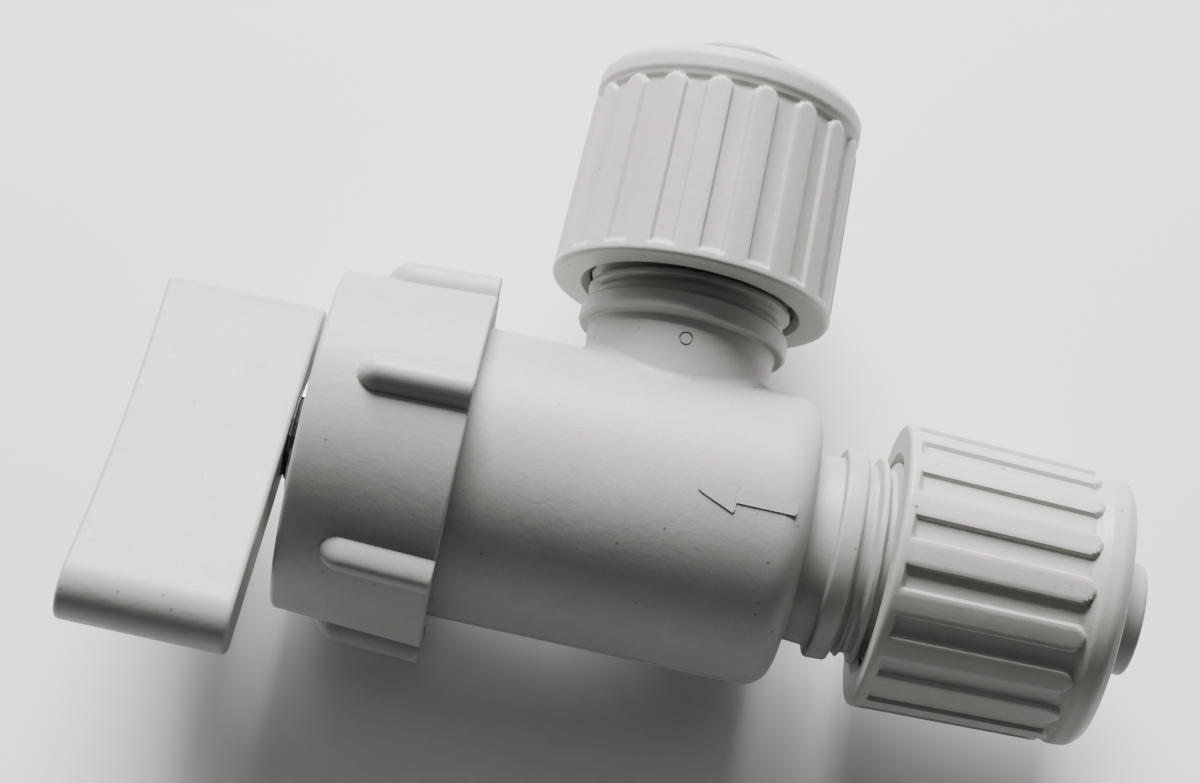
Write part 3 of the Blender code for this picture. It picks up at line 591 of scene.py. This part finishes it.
def outside_of(outline):
    """True for rows on the outside of the body: those past the first corner, up to the mouth."""
    first = int(np.argmax(outline[:, 1] > BARREL_R - 0.5 * MM))
    neck = np.nonzero(outline[:, 1] >= NECK_ROOT_R - 0.35 * MM)[0]
    chamber = outline[:, 1] < CHAMBER_R + 0.35 * MM
    rows = np.arange(len(outline))
    past = rows >= first
    last_outside = neck[np.argmax(outline[neck, 0])]
    return past & (rows <= last_outside) & ~(chamber & (outline[:, 0] < BARREL_END - MM))


def densify_barrel(outline, barrel_mouth):
    """Close rows along the barrel's thread, wider ones along the rest of the barrel."""
    thread_end = barrel_mouth + 5.2 * MM
    rows = []
    for here, after in zip(outline, np.roll(outline, -1, axis=0)):
        rows.append(here[None])
        on_barrel = min(here[1], after[1]) > BARREL_R - 0.05 * MM
        if on_barrel and after[0] - here[0] > BARREL_ROWS:
            threaded = np.arange(here[0] + BARREL_THREAD_ROWS, thread_end, BARREL_THREAD_ROWS)
            plain_start = thread_end + BARREL_THREAD_ROWS
            plain = np.arange(plain_start, after[0] - BARREL_ROWS / 2, BARREL_ROWS)
            stations = np.concatenate([threaded, plain])
            share = ((stations - here[0]) / (after[0] - here[0]))[:, None]
            rows.append(here + (after - here) * share)
    return np.concatenate(rows)


def branch_mesh(flash):
    """The outlet branch, solid inside, whose foot follows the barrel with a small fillet.

    The foot's points sit on the barrel, whose height is the root of its radius squared less
    the square of their own height above the branch's middle plane. The rings inside the foot
    dip under the barrel's skin, deeper towards the middle."""
    rim = OUTLET_NUT_LOW.y
    mouth = BODY_HIGH.y
    neck_end = rim + NECK_PAST_RIM
    inside_barrel = 14.5 * MM
    corners = [(inside_barrel, NECK_ROOT_R, 0.0), *neck_corners(OUTLET_FLANGE, rim, mouth)[:-1]]
    corners.append((mouth, 0.0, 0.0))
    outline = rounded_outline(corners, closed=False)
    outline = refined(outline, OUTLET_FLANGE + FLANGE_WIDTH, neck_end, THREAD_ROWS, closed=False)
    width = FLASH_WIDTH / NECK_ROOT_R
    angles = parting_angles(BRANCH_COLUMNS, width)
    station = np.repeat(outline[:, :1], len(angles), axis=1)
    radius = np.repeat(outline[:, 1:], len(angles), axis=1)
    radius = radius + neck_thread(station, angles, radius, OUTLET_FLANGE, neck_end)
    outer = (radius > NECK_ROOT_R - 0.3 * MM) & (station < neck_end)
    radius = radius + np.where(outer, parting_ridge(angles, width, flash), 0.0)
    fillet, dip = 1.1 * MM, 0.8 * MM
    turn = np.linspace(0, math.pi / 2, 8)[:, None]
    foot_r = NECK_ROOT_R + fillet * (1 - np.sin(turn)) + 0 * angles
    foot_y = on_barrel_height(foot_r, angles) + fillet * (1 - np.cos(turn))
    sunk_r = foot_r[:1]
    sunk_y = foot_y[:1] - dip
    core_r = np.zeros_like(sunk_r)
    core_y = np.full_like(sunk_y, BARREL_R - 3 * dip)
    mid_r = sunk_r * 0.5
    mid_y = on_barrel_height(mid_r, angles) - 2 * dip
    station = np.concatenate([core_y, mid_y, sunk_y, foot_y, station[1:]])
    radius = np.concatenate([core_r, mid_r, sunk_r, foot_r, radius[1:]])
    return swept("branch", station, radius, angles, axis="Y", place=(BRANCH_X, 0.0, 0.0),
                 close_rows=False)


def on_barrel_height(radius, angles):
    """Height of the barrel's surface where a branch radius and angle meet it."""
    up = radius * np.sin(angles)
    return np.sqrt(np.maximum(BARREL_R ** 2 - up ** 2, 0.0))


def bar(axis, start, stop, radius, columns=64):
    """A round bar, closed at both ends: along the main axis, or along the branch."""
    angles = np.linspace(0, TURN, columns, endpoint=False)
    station = np.array([start, start, stop, stop])[:, None]
    rows = np.array([0.0, radius, radius, 0.0])[:, None] + 0 * angles
    place = (BRANCH_X if axis == "Y" else 0.0, 0.0, 0.0)
    return swept("bar", station, rows, angles, axis, place, close_rows=False)


def arrow_mesh():
    """The raised flow arrow on the barrel's top, pointing from the inlet to the seat.

    Its outline is wrapped on the barrel: a point at (x, s) stands at angle s over the barrel's
    radius from the top. The rows run from a middle point under the skin, out along the outline,
    up its sloped side and in over the top, where the outline is drawn in towards its middle."""
    tip, length = 4.2 * MM, 10.2 * MM
    head, head_half, shaft_half = 3.9 * MM, 1.6 * MM, 0.5 * MM
    corners = np.array([(0, 0), (head, head_half), (head, shaft_half), (length, shaft_half),
                        (length, -shaft_half), (head, -shaft_half), (head, -head_half)])
    outline = split_runs(corners, lambda here, after: 6)
    middle = np.array([head * 0.97, 0.0])
    tangent = np.roll(outline, -1, axis=0) - np.roll(outline, 1, axis=0)
    normal = np.stack([-tangent[:, 1], tangent[:, 0]], axis=-1)
    normal = normal / np.linalg.norm(normal, axis=1, keepdims=True)
    foot, top = -0.6 * MM, 0.13 * MM
    slope = [(0.2, foot), (0.2, -0.02 * MM), (0.1, 0.03 * MM), (-0.06, 0.1 * MM), (-0.18, top)]
    rings = [(outline - normal * grow * MM, rise) for grow, rise in slope]
    point = np.broadcast_to(middle, outline.shape)
    levels = []
    for flat, rise in [(point, foot), *rings, (point, top)]:
        turned = math.pi / 2 - flat[:, 1] / BARREL_R
        radius = BARREL_R + rise
        levels.append(np.stack([BRANCH_X + tip + flat[:, 0], radius * np.cos(turned),
                                radius * np.sin(turned)], axis=-1))
    return outward(tidy_mesh(mesh_from_grid("arrow", np.array(levels))))


def outward(mesh):
    """The mesh with all its faces turned outwards."""
    shape = bmesh.new()
    shape.from_mesh(mesh)
    if shape.calc_volume(signed=True) < 0:
        bmesh.ops.reverse_faces(shape, faces=shape.faces)
    shape.to_mesh(mesh)
    shape.free()
    return mesh


def ejector_ring():
    """A shallow ring cut round the ejector pin's mark on the branch, on its top side."""
    tube_turn = np.linspace(0, TURN, 8, endpoint=False)
    round_turn = np.linspace(0, TURN, 36, endpoint=False)
    ring_r, tube_r, lift = 0.68 * MM, 0.13 * MM, 0.02 * MM
    radius = ring_r + tube_r * np.cos(tube_turn)[:, None]
    x = radius * np.cos(round_turn)
    y = radius * np.sin(round_turn)
    z = np.sqrt(NECK_ROOT_R ** 2 - x ** 2) + tube_r * np.sin(tube_turn)[:, None] + lift
    points = np.stack([x + BRANCH_X, y + EJECTOR_Y, z], axis=-1)
    return outward(tidy_mesh(mesh_from_grid("ejector", points, close_rows=True)))


class VALVE_OT_body(bpy.types.Operator):
    """Build the valve body with its necks, inserts, threads and raised marks"""
    bl_idname = "valve.body"
    bl_label = "Valve body"

    def execute(self, context):
        settings = context.scene.valve_shape
        mesh = body_mesh(settings.flash_height)
        make_piece("body_moulding", mesh, "valve", finish_for("body"),
                   "valve_body")
        return {"FINISHED"}


def lug_columns(half, crowd, between):
    """Angles round the nut, crowded at each lug, for lugs spaced evenly from angle zero."""
    pitch = TURN / LUGS
    near = np.linspace(-1.25, 1.25, crowd) * half
    far = np.linspace(near[-1], pitch + near[0], between + 2)[1:-1]
    pattern = np.concatenate([near, far])
    return np.concatenate([pattern + k * pitch for k in range(LUGS)])


def bonnet_nut_mesh(shape):
    """The bonnet nut: a slightly conical ring with lugs, a front lip and an inside thread.

    A lug is a bar with a round front. Its height is the lug's full height times a flattened
    dome of the distance from its middle line, and in front of its round end's centre, of the
    distance from that centre."""
    front, back = BONNET_NUT_LOW.x, BONNET_NUT_HIGH.x
    barrel_mouth = BODY_LOW.x
    high = BARREL_R + BONNET_DEPTH + THREAD_GAP
    lip_back = front + 1.7 * MM
    hole = 12.0 * MM
    chamfer = 0.7 * MM
    corners = [
        (front, hole, 0.25 * MM),
        (front, shape.nut_front_r, 0.6 * MM),
        (back, shape.nut_back_r, 0.3 * MM),
        (back, high + chamfer, 0.1 * MM),
        (back - chamfer, high, 0.1 * MM),
        (lip_back, high, 0.3 * MM),
        (lip_back, hole, 0.2 * MM),
    ]

    def steps(here, after):
        runs_along = abs(after[0] - here[0]) > MM
        return int(np.linalg.norm(after - here) / LUG_ROWS) - 1 if runs_along else 1

    outline = split_runs(rounded_outline(corners), steps)
    half = shape.lug_width / 2 / shape.nut_back_r
    angles = lug_columns(half, crowd=33, between=14) + shape.lug_phase
    station = outline[:, :1]
    radius = np.repeat(outline[:, 1:], len(angles), axis=1)
    outer = outline[:, 1:] > high + 0.5 * MM
    pitch = TURN / LUGS
    away = np.abs((angles - shape.lug_phase + pitch / 2) % pitch - pitch / 2) / half
    nose, flatness = 2.2 * MM, 0.75
    ahead = np.maximum(front + shape.lug_setback + nose - station, 0.0) / nose
    distance = np.clip(np.sqrt(away ** 2 + ahead ** 2), 0, 1)
    dome = np.cos(distance * math.pi / 2) ** flatness
    radius = radius + np.where(outer, shape.lug_height * dome, 0.0)
    thread = BONNET_DEPTH - ridge(station, angles, barrel_mouth, BONNET_LEAD, -8, 40, BONNET_DEPTH)
    fade = np.clip((station - barrel_mouth + 0.2 * MM) / MM, 0, 1)
    fade = fade * np.clip((back - 1.2 * MM - station) / MM, 0, 1)
    inner = (outline[:, 1:] < high + 0.05 * MM) & (outline[:, 1:] > high - 0.05 * MM)
    radius = radius - np.where(inner, thread * fade, 0.0)
    return swept("bonnet_nut", station, radius, angles)


class VALVE_OT_bonnet_nut(bpy.types.Operator):
    """Build the lugged bonnet nut"""
    bl_idname = "valve.bonnet_nut"
    bl_label = "Bonnet nut"

    def execute(self, context):
        mesh = bonnet_nut_mesh(context.scene.valve_shape)
        make_piece("bonnet_nut_moulding", mesh, "bonnet_nut", finish_for("body"),
                   "bonnet_nut")
        return {"FINISHED"}


def compression_nut_mesh(shape, rim, end, axis, flange, flute_phase):
    """A compression nut: a rim band, ribs with round ends, a notch and a rounded shoulder.

    The outside is a plain taper less the groove's depth, where a groove runs between two ribs,
    and in the narrow notch between the ribs' ends and the shoulder."""
    thread_high = NECK_ROOT_R + NECK_DEPTH + THREAD_GAP
    wall = end - 2.2 * MM
    hole = SOCKET_R + 0.2 * MM
    taper_r = thread_high - 0.3 * MM
    corners = [
        (rim, thread_high + 0.8 * MM, 0.2 * MM),
        (rim, shape.compression_rim_r, 0.6 * MM),
        (end - 1.1 * MM, shape.compression_end_r - 0.05 * MM, 1.6 * MM),
        (end, shape.compression_end_r - 1.0 * MM, 0.7 * MM),
        (end, hole, 0.3 * MM),
        (wall, hole, 0.2 * MM),
        (wall, taper_r - 1.1 * MM, 0.2 * MM),
        (wall - 3.6 * MM, taper_r, 0.3 * MM),
        (rim + 0.9 * MM, thread_high, 0.1 * MM),
    ]

    def steps(here, after):
        return max(int(np.linalg.norm(after - here) / RIB_ROWS), 1)

    outline = split_runs(rounded_outline(corners, steps=8), steps)
    pitch = TURN / RIBS
    pattern = np.array([0.0, 0.1, 0.2, 0.25, 0.3, 0.36, 0.42, 0.5, 0.58, 0.64, 0.7, 0.75, 0.8, 0.9])
    angles = np.concatenate([(pattern + k) * pitch for k in range(RIBS)]) + flute_phase
    station = outline[:, :1]
    radius = np.repeat(outline[:, 1:], len(angles), axis=1)
    outer = outline[:, 1:] > thread_high + MM
    across = np.abs((angles - flute_phase) / pitch % 1.0 - 0.5)
    half = shape.rib_share / 2
    flare = 0.05
    notch = end - shape.shoulder_band - 0.9 * MM
    stop, rounding = notch + 0.1 * MM, 1.3 * MM
    round_end = np.clip((station - (stop - rounding)) / rounding, 0, 1.2)
    reach = half * np.sqrt(np.clip(1 - round_end ** 2, 0, 1)) - flare * (round_end > 1)
    rib = smooth_step((reach + flare - across) / (2 * flare))
    rim_blend = 1 - smooth_step((station - rim - 1.0 * MM) / (0.7 * MM))
    shoulder = 0.55 + 0.45 * smooth_step((station - notch - 0.3 * MM) / (0.8 * MM))
    shoulder = shoulder * smooth_step((station - notch + 0.5 * MM) / (0.8 * MM))
    cover = np.maximum(np.maximum(rib, rim_blend), shoulder)
    radius = radius - np.where(outer, shape.flute_depth * (1 - cover), 0.0)
    thread_stop = rim + 10.3 * MM
    fade = np.clip(np.minimum(station - rim - MM, thread_stop - station) / MM, 0, 1)
    datum = flange + THREAD_START
    thread = NECK_DEPTH - ridge(station, angles, datum, NECK_LEAD, -40, 80, NECK_DEPTH)
    inner = (outline[:, 1:] < thread_high + 0.05 * MM) & (outline[:, 1:] > taper_r - 0.02 * MM)
    radius = radius - np.where(inner, thread * fade, 0.0)
    place = (BRANCH_X, 0.0, 0.0)
    return swept("compression_nut", station, radius, angles, axis=axis, place=place)


class VALVE_OT_compression_nuts(bpy.types.Operator):
    """Build the two ribbed compression nuts"""
    bl_idname = "valve.compression_nuts"
    bl_label = "Compression nuts"

    def execute(self, context):
        shape = context.scene.valve_shape
        inlet = compression_nut_mesh(shape, INLET_NUT_LOW.x - BRANCH_X, INLET_NUT_HIGH.x - BRANCH_X,
                                     "X", INLET_FLANGE, shape.inlet_rib_phase)
        outlet = compression_nut_mesh(shape, OUTLET_NUT_LOW.y, OUTLET_NUT_HIGH.y, "Y",
                                      OUTLET_FLANGE, shape.outlet_rib_phase)
        for prefix, mesh in (("inlet", inlet), ("outlet", outlet)):
            make_piece(prefix + "_nut_moulding", mesh, prefix + "_nut", finish_for("nut"),
                       prefix + "_nut")
        return {"FINISHED"}


def handle_mesh(shape):
    """The lever: a bar with full-round ends, a dished outer edge and softened edges.

    The end view is a line grown by half the thickness. Going from one end face to the other,
    the growth follows a quarter circle in, a straight run and a quarter circle out, and the
    outer face bows in by the dish, less the square of the distance from the bar's middle."""
    back, front = HANDLE_HIGH.x, HANDLE_LOW.x
    half = shape.handle_thickness / 2
    reach = shape.handle_length / 2 - half
    turn = np.linspace(-math.pi / 2, math.pi / 2, 25)
    ends = np.full_like(turn, reach)
    flank = np.linspace(reach, -reach, 25)[1:-1]
    flat = np.ones_like(flank)
    core = np.concatenate([ends, flank, -ends, flank[::-1]])
    out_v = np.concatenate([np.cos(turn), 0 * flat, -np.cos(turn), 0 * flat])
    out_n = np.concatenate([np.sin(turn), flat, -np.sin(turn), -flat])
    edge = shape.handle_edge
    corner = np.linspace(0, math.pi / 2, 7)
    inset = np.concatenate([[half, half * 0.6], edge * (1 - np.sin(corner)), [0.0] * 6,
                            edge * (1 - np.cos(corner)), [half * 0.6, half]])
    rise = edge * (1 - np.cos(corner))
    depth = back - front
    share = np.concatenate([[0, 0], rise / depth, np.linspace(0.1, 0.9, 6),
                            1 - rise[::-1] / depth, [1, 1]])
    grow = (half - inset)[:, None]
    along = core + grow * out_v
    thick = grow * out_n
    dish = shape.handle_dish * np.clip(1 - (along / (shape.handle_length / 2)) ** 2, 0, 1)
    x = back + (front + dish - back) * share[:, None]
    along = along + shape.handle_offset
    c, s = math.cos(shape.handle_angle), math.sin(shape.handle_angle)
    points = np.stack([x, along * c - thick * s, along * s + thick * c], axis=-1)
    mesh = outward(tidy_mesh(mesh_from_grid("lever", points)))
    recess_r, screw_r, socket_half, gap = 2.8 * MM, 1.4 * MM, 2.7 * MM, 0.3 * MM
    shelf = STEM_FRONT - SCREW_BRIDGE
    recess = bar("X", front - MM, shelf, recess_r)
    socket = box_tool((STEM_FRONT - gap, -socket_half, -socket_half),
                      (back + MM, socket_half, socket_half), shape.handle_angle)
    through = bar("X", shelf - MM, STEM_FRONT + MM, screw_r)
    for cutter in (recess, socket, through):
        mesh = combined(mesh, cutter, "DIFFERENCE")
    return mesh


def box_tool(low, high, roll):
    """A box turned about the main axis, used as a cutter."""
    low, high = Vector(low), Vector(high)
    sized = Matrix.Translation((low + high) / 2) @ Matrix.Diagonal((*(high - low), 1.0))
    shape = bmesh.new()
    bmesh.ops.create_cube(shape, size=1.0, matrix=Matrix.Rotation(roll, 4, "X") @ sized)
    mesh = bpy.data.meshes.new("box")
    shape.to_mesh(mesh)
    shape.free()
    return mesh


class VALVE_OT_handle(bpy.types.Operator):
    """Build the lever handle"""
    bl_idname = "valve.handle"
    bl_label = "Handle"

    def execute(self, context):
        mesh = handle_mesh(context.scene.valve_shape)
        make_piece("lever_moulding", mesh, "handle", finish_for("body"), "handle")
        return {"FINISHED"}


def diaphragm_mesh():
    """The rubber diaphragm: a clamped rim, a web that sweeps back to the boss, and a hole.

    Along the web the radius falls evenly, and the station goes by half of one less the cosine
    of a half turn, so that the web leaves both ends square to the axis."""
    low, high = DIAPHRAGM_LOW.x, DIAPHRAGM_HIGH.x
    rim_r, clamp_r = DIAPHRAGM_HIGH.z, CHAMBER_R + 0.1 * MM
    rim_back = low + 1.6 * MM
    boss_r, hole_r, boss_depth = 6.4 * MM, 1.4 * MM, 1.5 * MM
    outer_r, inner_r, web = CHAMBER_R - 0.7 * MM, 7.2 * MM, MM
    share = np.linspace(0, 1, 24)
    sweep = (1 - np.cos(math.pi * share)) / 2
    web_r = outer_r + (inner_r - outer_r) * share
    back = rim_back - 0.2 * MM + (high - rim_back) * sweep
    rows = [(low, rim_r), (rim_back, rim_r), (rim_back, clamp_r)]
    rows += list(zip(back, web_r))
    rows += [(high, boss_r), (high, hole_r)]
    rows += [(high - boss_depth, hole_r), (high - boss_depth, boss_r)]
    rows += list(zip(back - web, web_r))[::-1]
    rows += [(low, clamp_r)]
    outline = np.array(rows)
    angles = np.linspace(0, TURN, 120, endpoint=False)
    radius = np.repeat(outline[:, 1:], len(angles), axis=1)
    return swept("diaphragm", outline[:, :1], radius, angles)


class VALVE_OT_inner_parts(bpy.types.Operator):
    """Finish the CAD parts inside the valve, and build the rubber diaphragm"""
    bl_idname = "valve.inner_parts"
    bl_label = "Inner parts"

    def execute(self, context):
        piece = make_piece("diaphragm_sheet", diaphragm_mesh(), None, finish_for("rubber"),
                           "diaphragm")
        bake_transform(piece)
        kinds = {
            # Near-black bonnet and stem: painted shade for the gap behind the handle.
            "black": ["bonnet", "stem"],
            "acetal": ["plunger", "inlet_cone", "outlet_cone", "inlet_grip_ring",
                       "outlet_grip_ring"],
            "slip": ["thrust_washer", "bonnet_slip_ring"],
            "rubber": ["stem_o_ring"],
            "steel": ["inlet_spacer", "outlet_spacer", "handle_screw", "stem_clip"],
            "brass": ["diaphragm_screw"],
        }
        for kind, nodes in kinds.items():
            for node in nodes:
                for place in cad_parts[node].material_slots:
                    place.material = finish_for(kind)
        return {"FINISHED"}


class VALVE_OT_stage(bpy.types.Operator):
    """Set the floor, the soft lights and the camera"""
    bl_idname = "valve.stage"
    bl_label = "Stage"

    def execute(self, context):
        stage = context.scene.valve_stage
        floor_finish = Finish("floor_paint")
        floor_finish.connect(Base_Color=(0.93, 0.93, 0.93, 1.0), Roughness=0.9)
        floor_mesh = bpy.data.meshes.new("floor")
        drop = CAD_BOUNDS[0][2] - FLOOR_GAP
        corners = [(x * FLOOR_SIZE, y * FLOOR_SIZE, drop) for x, y in (
            (-1, -1), (1, -1), (1, 1), (-1, 1))]
        floor_mesh.from_pydata(corners, [], [(0, 1, 2, 3)])
        floor_mesh.materials.append(floor_finish.material)
        floor = bpy.data.objects.new("floor", floor_mesh)
        context.scene.collection.objects.link(floor)

        world = bpy.data.worlds.new("studio")
        world.use_nodes = True
        background = world.node_tree.nodes["Background"]
        background.inputs["Color"].default_value = (1.0, 1.0, 1.0, 1)
        background.inputs["Strength"].default_value = stage.fill
        context.scene.world = world
        centre = Vector((BRANCH_X, 0.0, 0.0))
        self.area_light(context, "key", centre, offset=(-0.16, 0.70, 0.36), size=0.42,
                        power=stage.key_power)
        self.area_light(context, "front", centre, offset=(0.05, 0.25, 0.8), size=0.5,
                        power=stage.front_power)

        camera = bpy.data.cameras.new("camera")
        camera.lens = stage.lens
        camera.sensor_width = 36.0
        camera.clip_start = 0.01
        holder = bpy.data.objects.new("camera", camera)
        turn = (Matrix.Rotation(stage.roll, 3, "Z") @ Matrix.Rotation(stage.yaw, 3, "Y")
                @ Matrix.Rotation(stage.tilt, 3, "X")).transposed()
        offset = turn @ Vector((-stage.aside, -stage.above, stage.distance))
        holder.matrix_world = Matrix.Translation(centre + offset) @ turn.to_4x4()
        context.scene.collection.objects.link(holder)
        context.scene.camera = holder
        return {"FINISHED"}

    def area_light(self, context, name, centre, offset, size, power):
        """A square soft light that looks at the valve's centre."""
        light = bpy.data.lights.new(name, "AREA")
        light.shape = "SQUARE"
        light.size = size
        light.energy = power
        made = bpy.data.objects.new(name, light)
        made.location = centre + Vector(offset)
        made.rotation_euler = (-Vector(offset)).to_track_quat("-Z", "Y").to_euler()
        context.scene.collection.objects.link(made)


# ---------------------------------------------------------------- settings and panel

def length(name, description, default):
    """A setting in metres."""
    return bpy.props.FloatProperty(name=name, description=description, default=default,
                                   unit="LENGTH", precision=5)


def angle(name, description, degrees):
    """A setting that turns something, with its default given in degrees."""
    return bpy.props.FloatProperty(name=name, description=description,
                                   default=math.radians(degrees), unit="ROTATION")


def tint(name, description, default):
    """A colour setting."""
    return bpy.props.FloatVectorProperty(name=name, description=description, default=default,
                                         subtype="COLOR", size=3, min=0, max=1)


class ValveShape(bpy.types.PropertyGroup):
    """Sizes of the visible mouldings that the frame leaves open"""
    nut_front_r: length("Bonnet nut front radius", "Radius at the front rim", 18.5 * MM)
    nut_back_r: length("Bonnet nut back radius", "Radius at the back rim", 19.4 * MM)
    lug_height: length("Lug height", "How far the lugs stand out", 1.95 * MM)
    lug_width: length("Lug width", "Width of one lug at its foot", 4.1 * MM)
    lug_setback: length("Lug setback", "From the front rim to the lugs' round ends", 4.6 * MM)
    lug_phase: angle("Lug phase", "Angle of the first lug", 18.5)
    compression_rim_r: length("Nut rim radius", "Radius at the open rim", 15.56 * MM)
    compression_end_r: length("Nut end radius", "Radius before the shoulder", 14.9 * MM)
    flute_depth: length("Groove depth", "Depth of the grooves between ribs", 0.65 * MM)
    rib_share: bpy.props.FloatProperty(name="Rib share", description="Rib's share of a pitch",
                                       default=0.56, min=0.2, max=0.8, subtype="FACTOR")
    shoulder_band: length("Shoulder band", "Plain length at the closed end", 3.0 * MM)
    inlet_rib_phase: angle("Inlet rib phase", "Angle of the first groove's middle", 5.7)
    outlet_rib_phase: angle("Outlet rib phase", "Angle of the first groove's middle", 11.5)
    handle_length: length("Handle length", "End to end", 48.05 * MM)
    handle_thickness: length("Handle thickness", "Across the flat faces", 7.5 * MM)
    handle_offset: length("Handle offset", "Of the bar's middle from the axis", -6.1 * MM)
    handle_dish: length("Handle dish", "Depth of the outer edge's bow", 0.7 * MM)
    handle_edge: length("Handle edge radius", "Softened edges", 0.55 * MM)
    handle_angle: angle("Handle angle", "Lean of the bar about the axis", -28.9)
    flash_height: length("Parting line height", "Flash where mould halves meet", 0.09 * MM)


class ValveFinishes(bpy.types.PropertyGroup):
    """Colours and gloss"""
    body_colour: tint("Body", "Grey mouldings", (0.36, 0.354, 0.338))
    nut_colour: tint("Nuts", "Off-white mouldings", (0.43, 0.425, 0.40))
    acetal_colour: tint("Acetal", "Inner white parts", (0.78, 0.78, 0.75))
    # Near-black: painted shade for the gap between the handle and the bonnet nut.
    bonnet_shade_colour: tint("Bonnet", "Bonnet and stem", (0.035, 0.035, 0.036))
    slip_colour: tint("Slip plastic", "Washers and slip rings", (0.80, 0.78, 0.70))
    roughness: bpy.props.FloatProperty(name="Roughness", description="Of the mouldings",
                                       default=0.48, min=0, max=1, subtype="FACTOR")


class ValveStage(bpy.types.PropertyGroup):
    """Camera and lights"""
    lens: bpy.props.FloatProperty(name="Lens", description="Focal length in millimetres",
                                  default=85.6, min=20, max=300, unit="CAMERA")
    distance: length("Distance", "Camera to the valve's centre, along the view", 0.30755)
    aside: length("Aside", "Centre's place right of the view's middle", 4.883 * MM)
    above: length("Above", "Centre's place above the view's middle", -13.021 * MM)
    roll: angle("Roll", "Camera roll", -12.5415)
    yaw: angle("Yaw", "Camera yaw", 0.8897)
    tilt: angle("Tilt", "Camera tilt", -15.364)
    key_power: bpy.props.FloatProperty(name="Key power", description="Soft light past the outlet",
                                       default=32.0, min=0, unit="POWER")
    front_power: bpy.props.FloatProperty(name="Front power", description="Weak light overhead",
                                         default=0.6, min=0, unit="POWER")
    fill: bpy.props.FloatProperty(name="Fill", description="Strength of the light all round",
                                  default=0.06, min=0)


class VALVE_PT_panel(bpy.types.Panel):
    """Lists the steps that build the valve"""
    bl_idname = "VALVE_PT_panel"
    bl_label = "Diaphragm valve"
    bl_space_type = "VIEW_3D"
    bl_region_type = "UI"
    bl_category = "Valve"

    def draw(self, context):
        for step in STEPS:
            self.layout.operator("valve." + step)
        for group in (context.scene.valve_shape, context.scene.valve_finishes,
                      context.scene.valve_stage):
            box = self.layout.box()
            for key in group.__annotations__:
                box.prop(group, key)


STEPS = ("body", "bonnet_nut", "compression_nuts", "handle", "inner_parts", "stage")
GROUPS = {"valve_shape": ValveShape, "valve_finishes": ValveFinishes, "valve_stage": ValveStage}
CLASSES = (*GROUPS.values(), VALVE_OT_body, VALVE_OT_bonnet_nut, VALVE_OT_compression_nuts,
           VALVE_OT_handle, VALVE_OT_inner_parts, VALVE_OT_stage, VALVE_PT_panel)


def register():
    """Adds the classes, and one group of settings for each on the scene."""
    for item in CLASSES:
        bpy.utils.register_class(item)
    for key, group in GROUPS.items():
        setattr(bpy.types.Scene, key, bpy.props.PointerProperty(type=group))


def unregister():
    """Takes away what register added."""
    for key in GROUPS:
        delattr(bpy.types.Scene, key)
    for item in reversed(CLASSES):
        bpy.utils.unregister_class(item)


def plain(box):
    """A box as plain lists of numbers."""
    return [list(map(float, corner)) for corner in box]


def main():
    """Builds every piece and the stage in order."""
    register()
    for step in STEPS:
        getattr(bpy.ops.valve, step)()


if __name__ == "__main__":
    main()
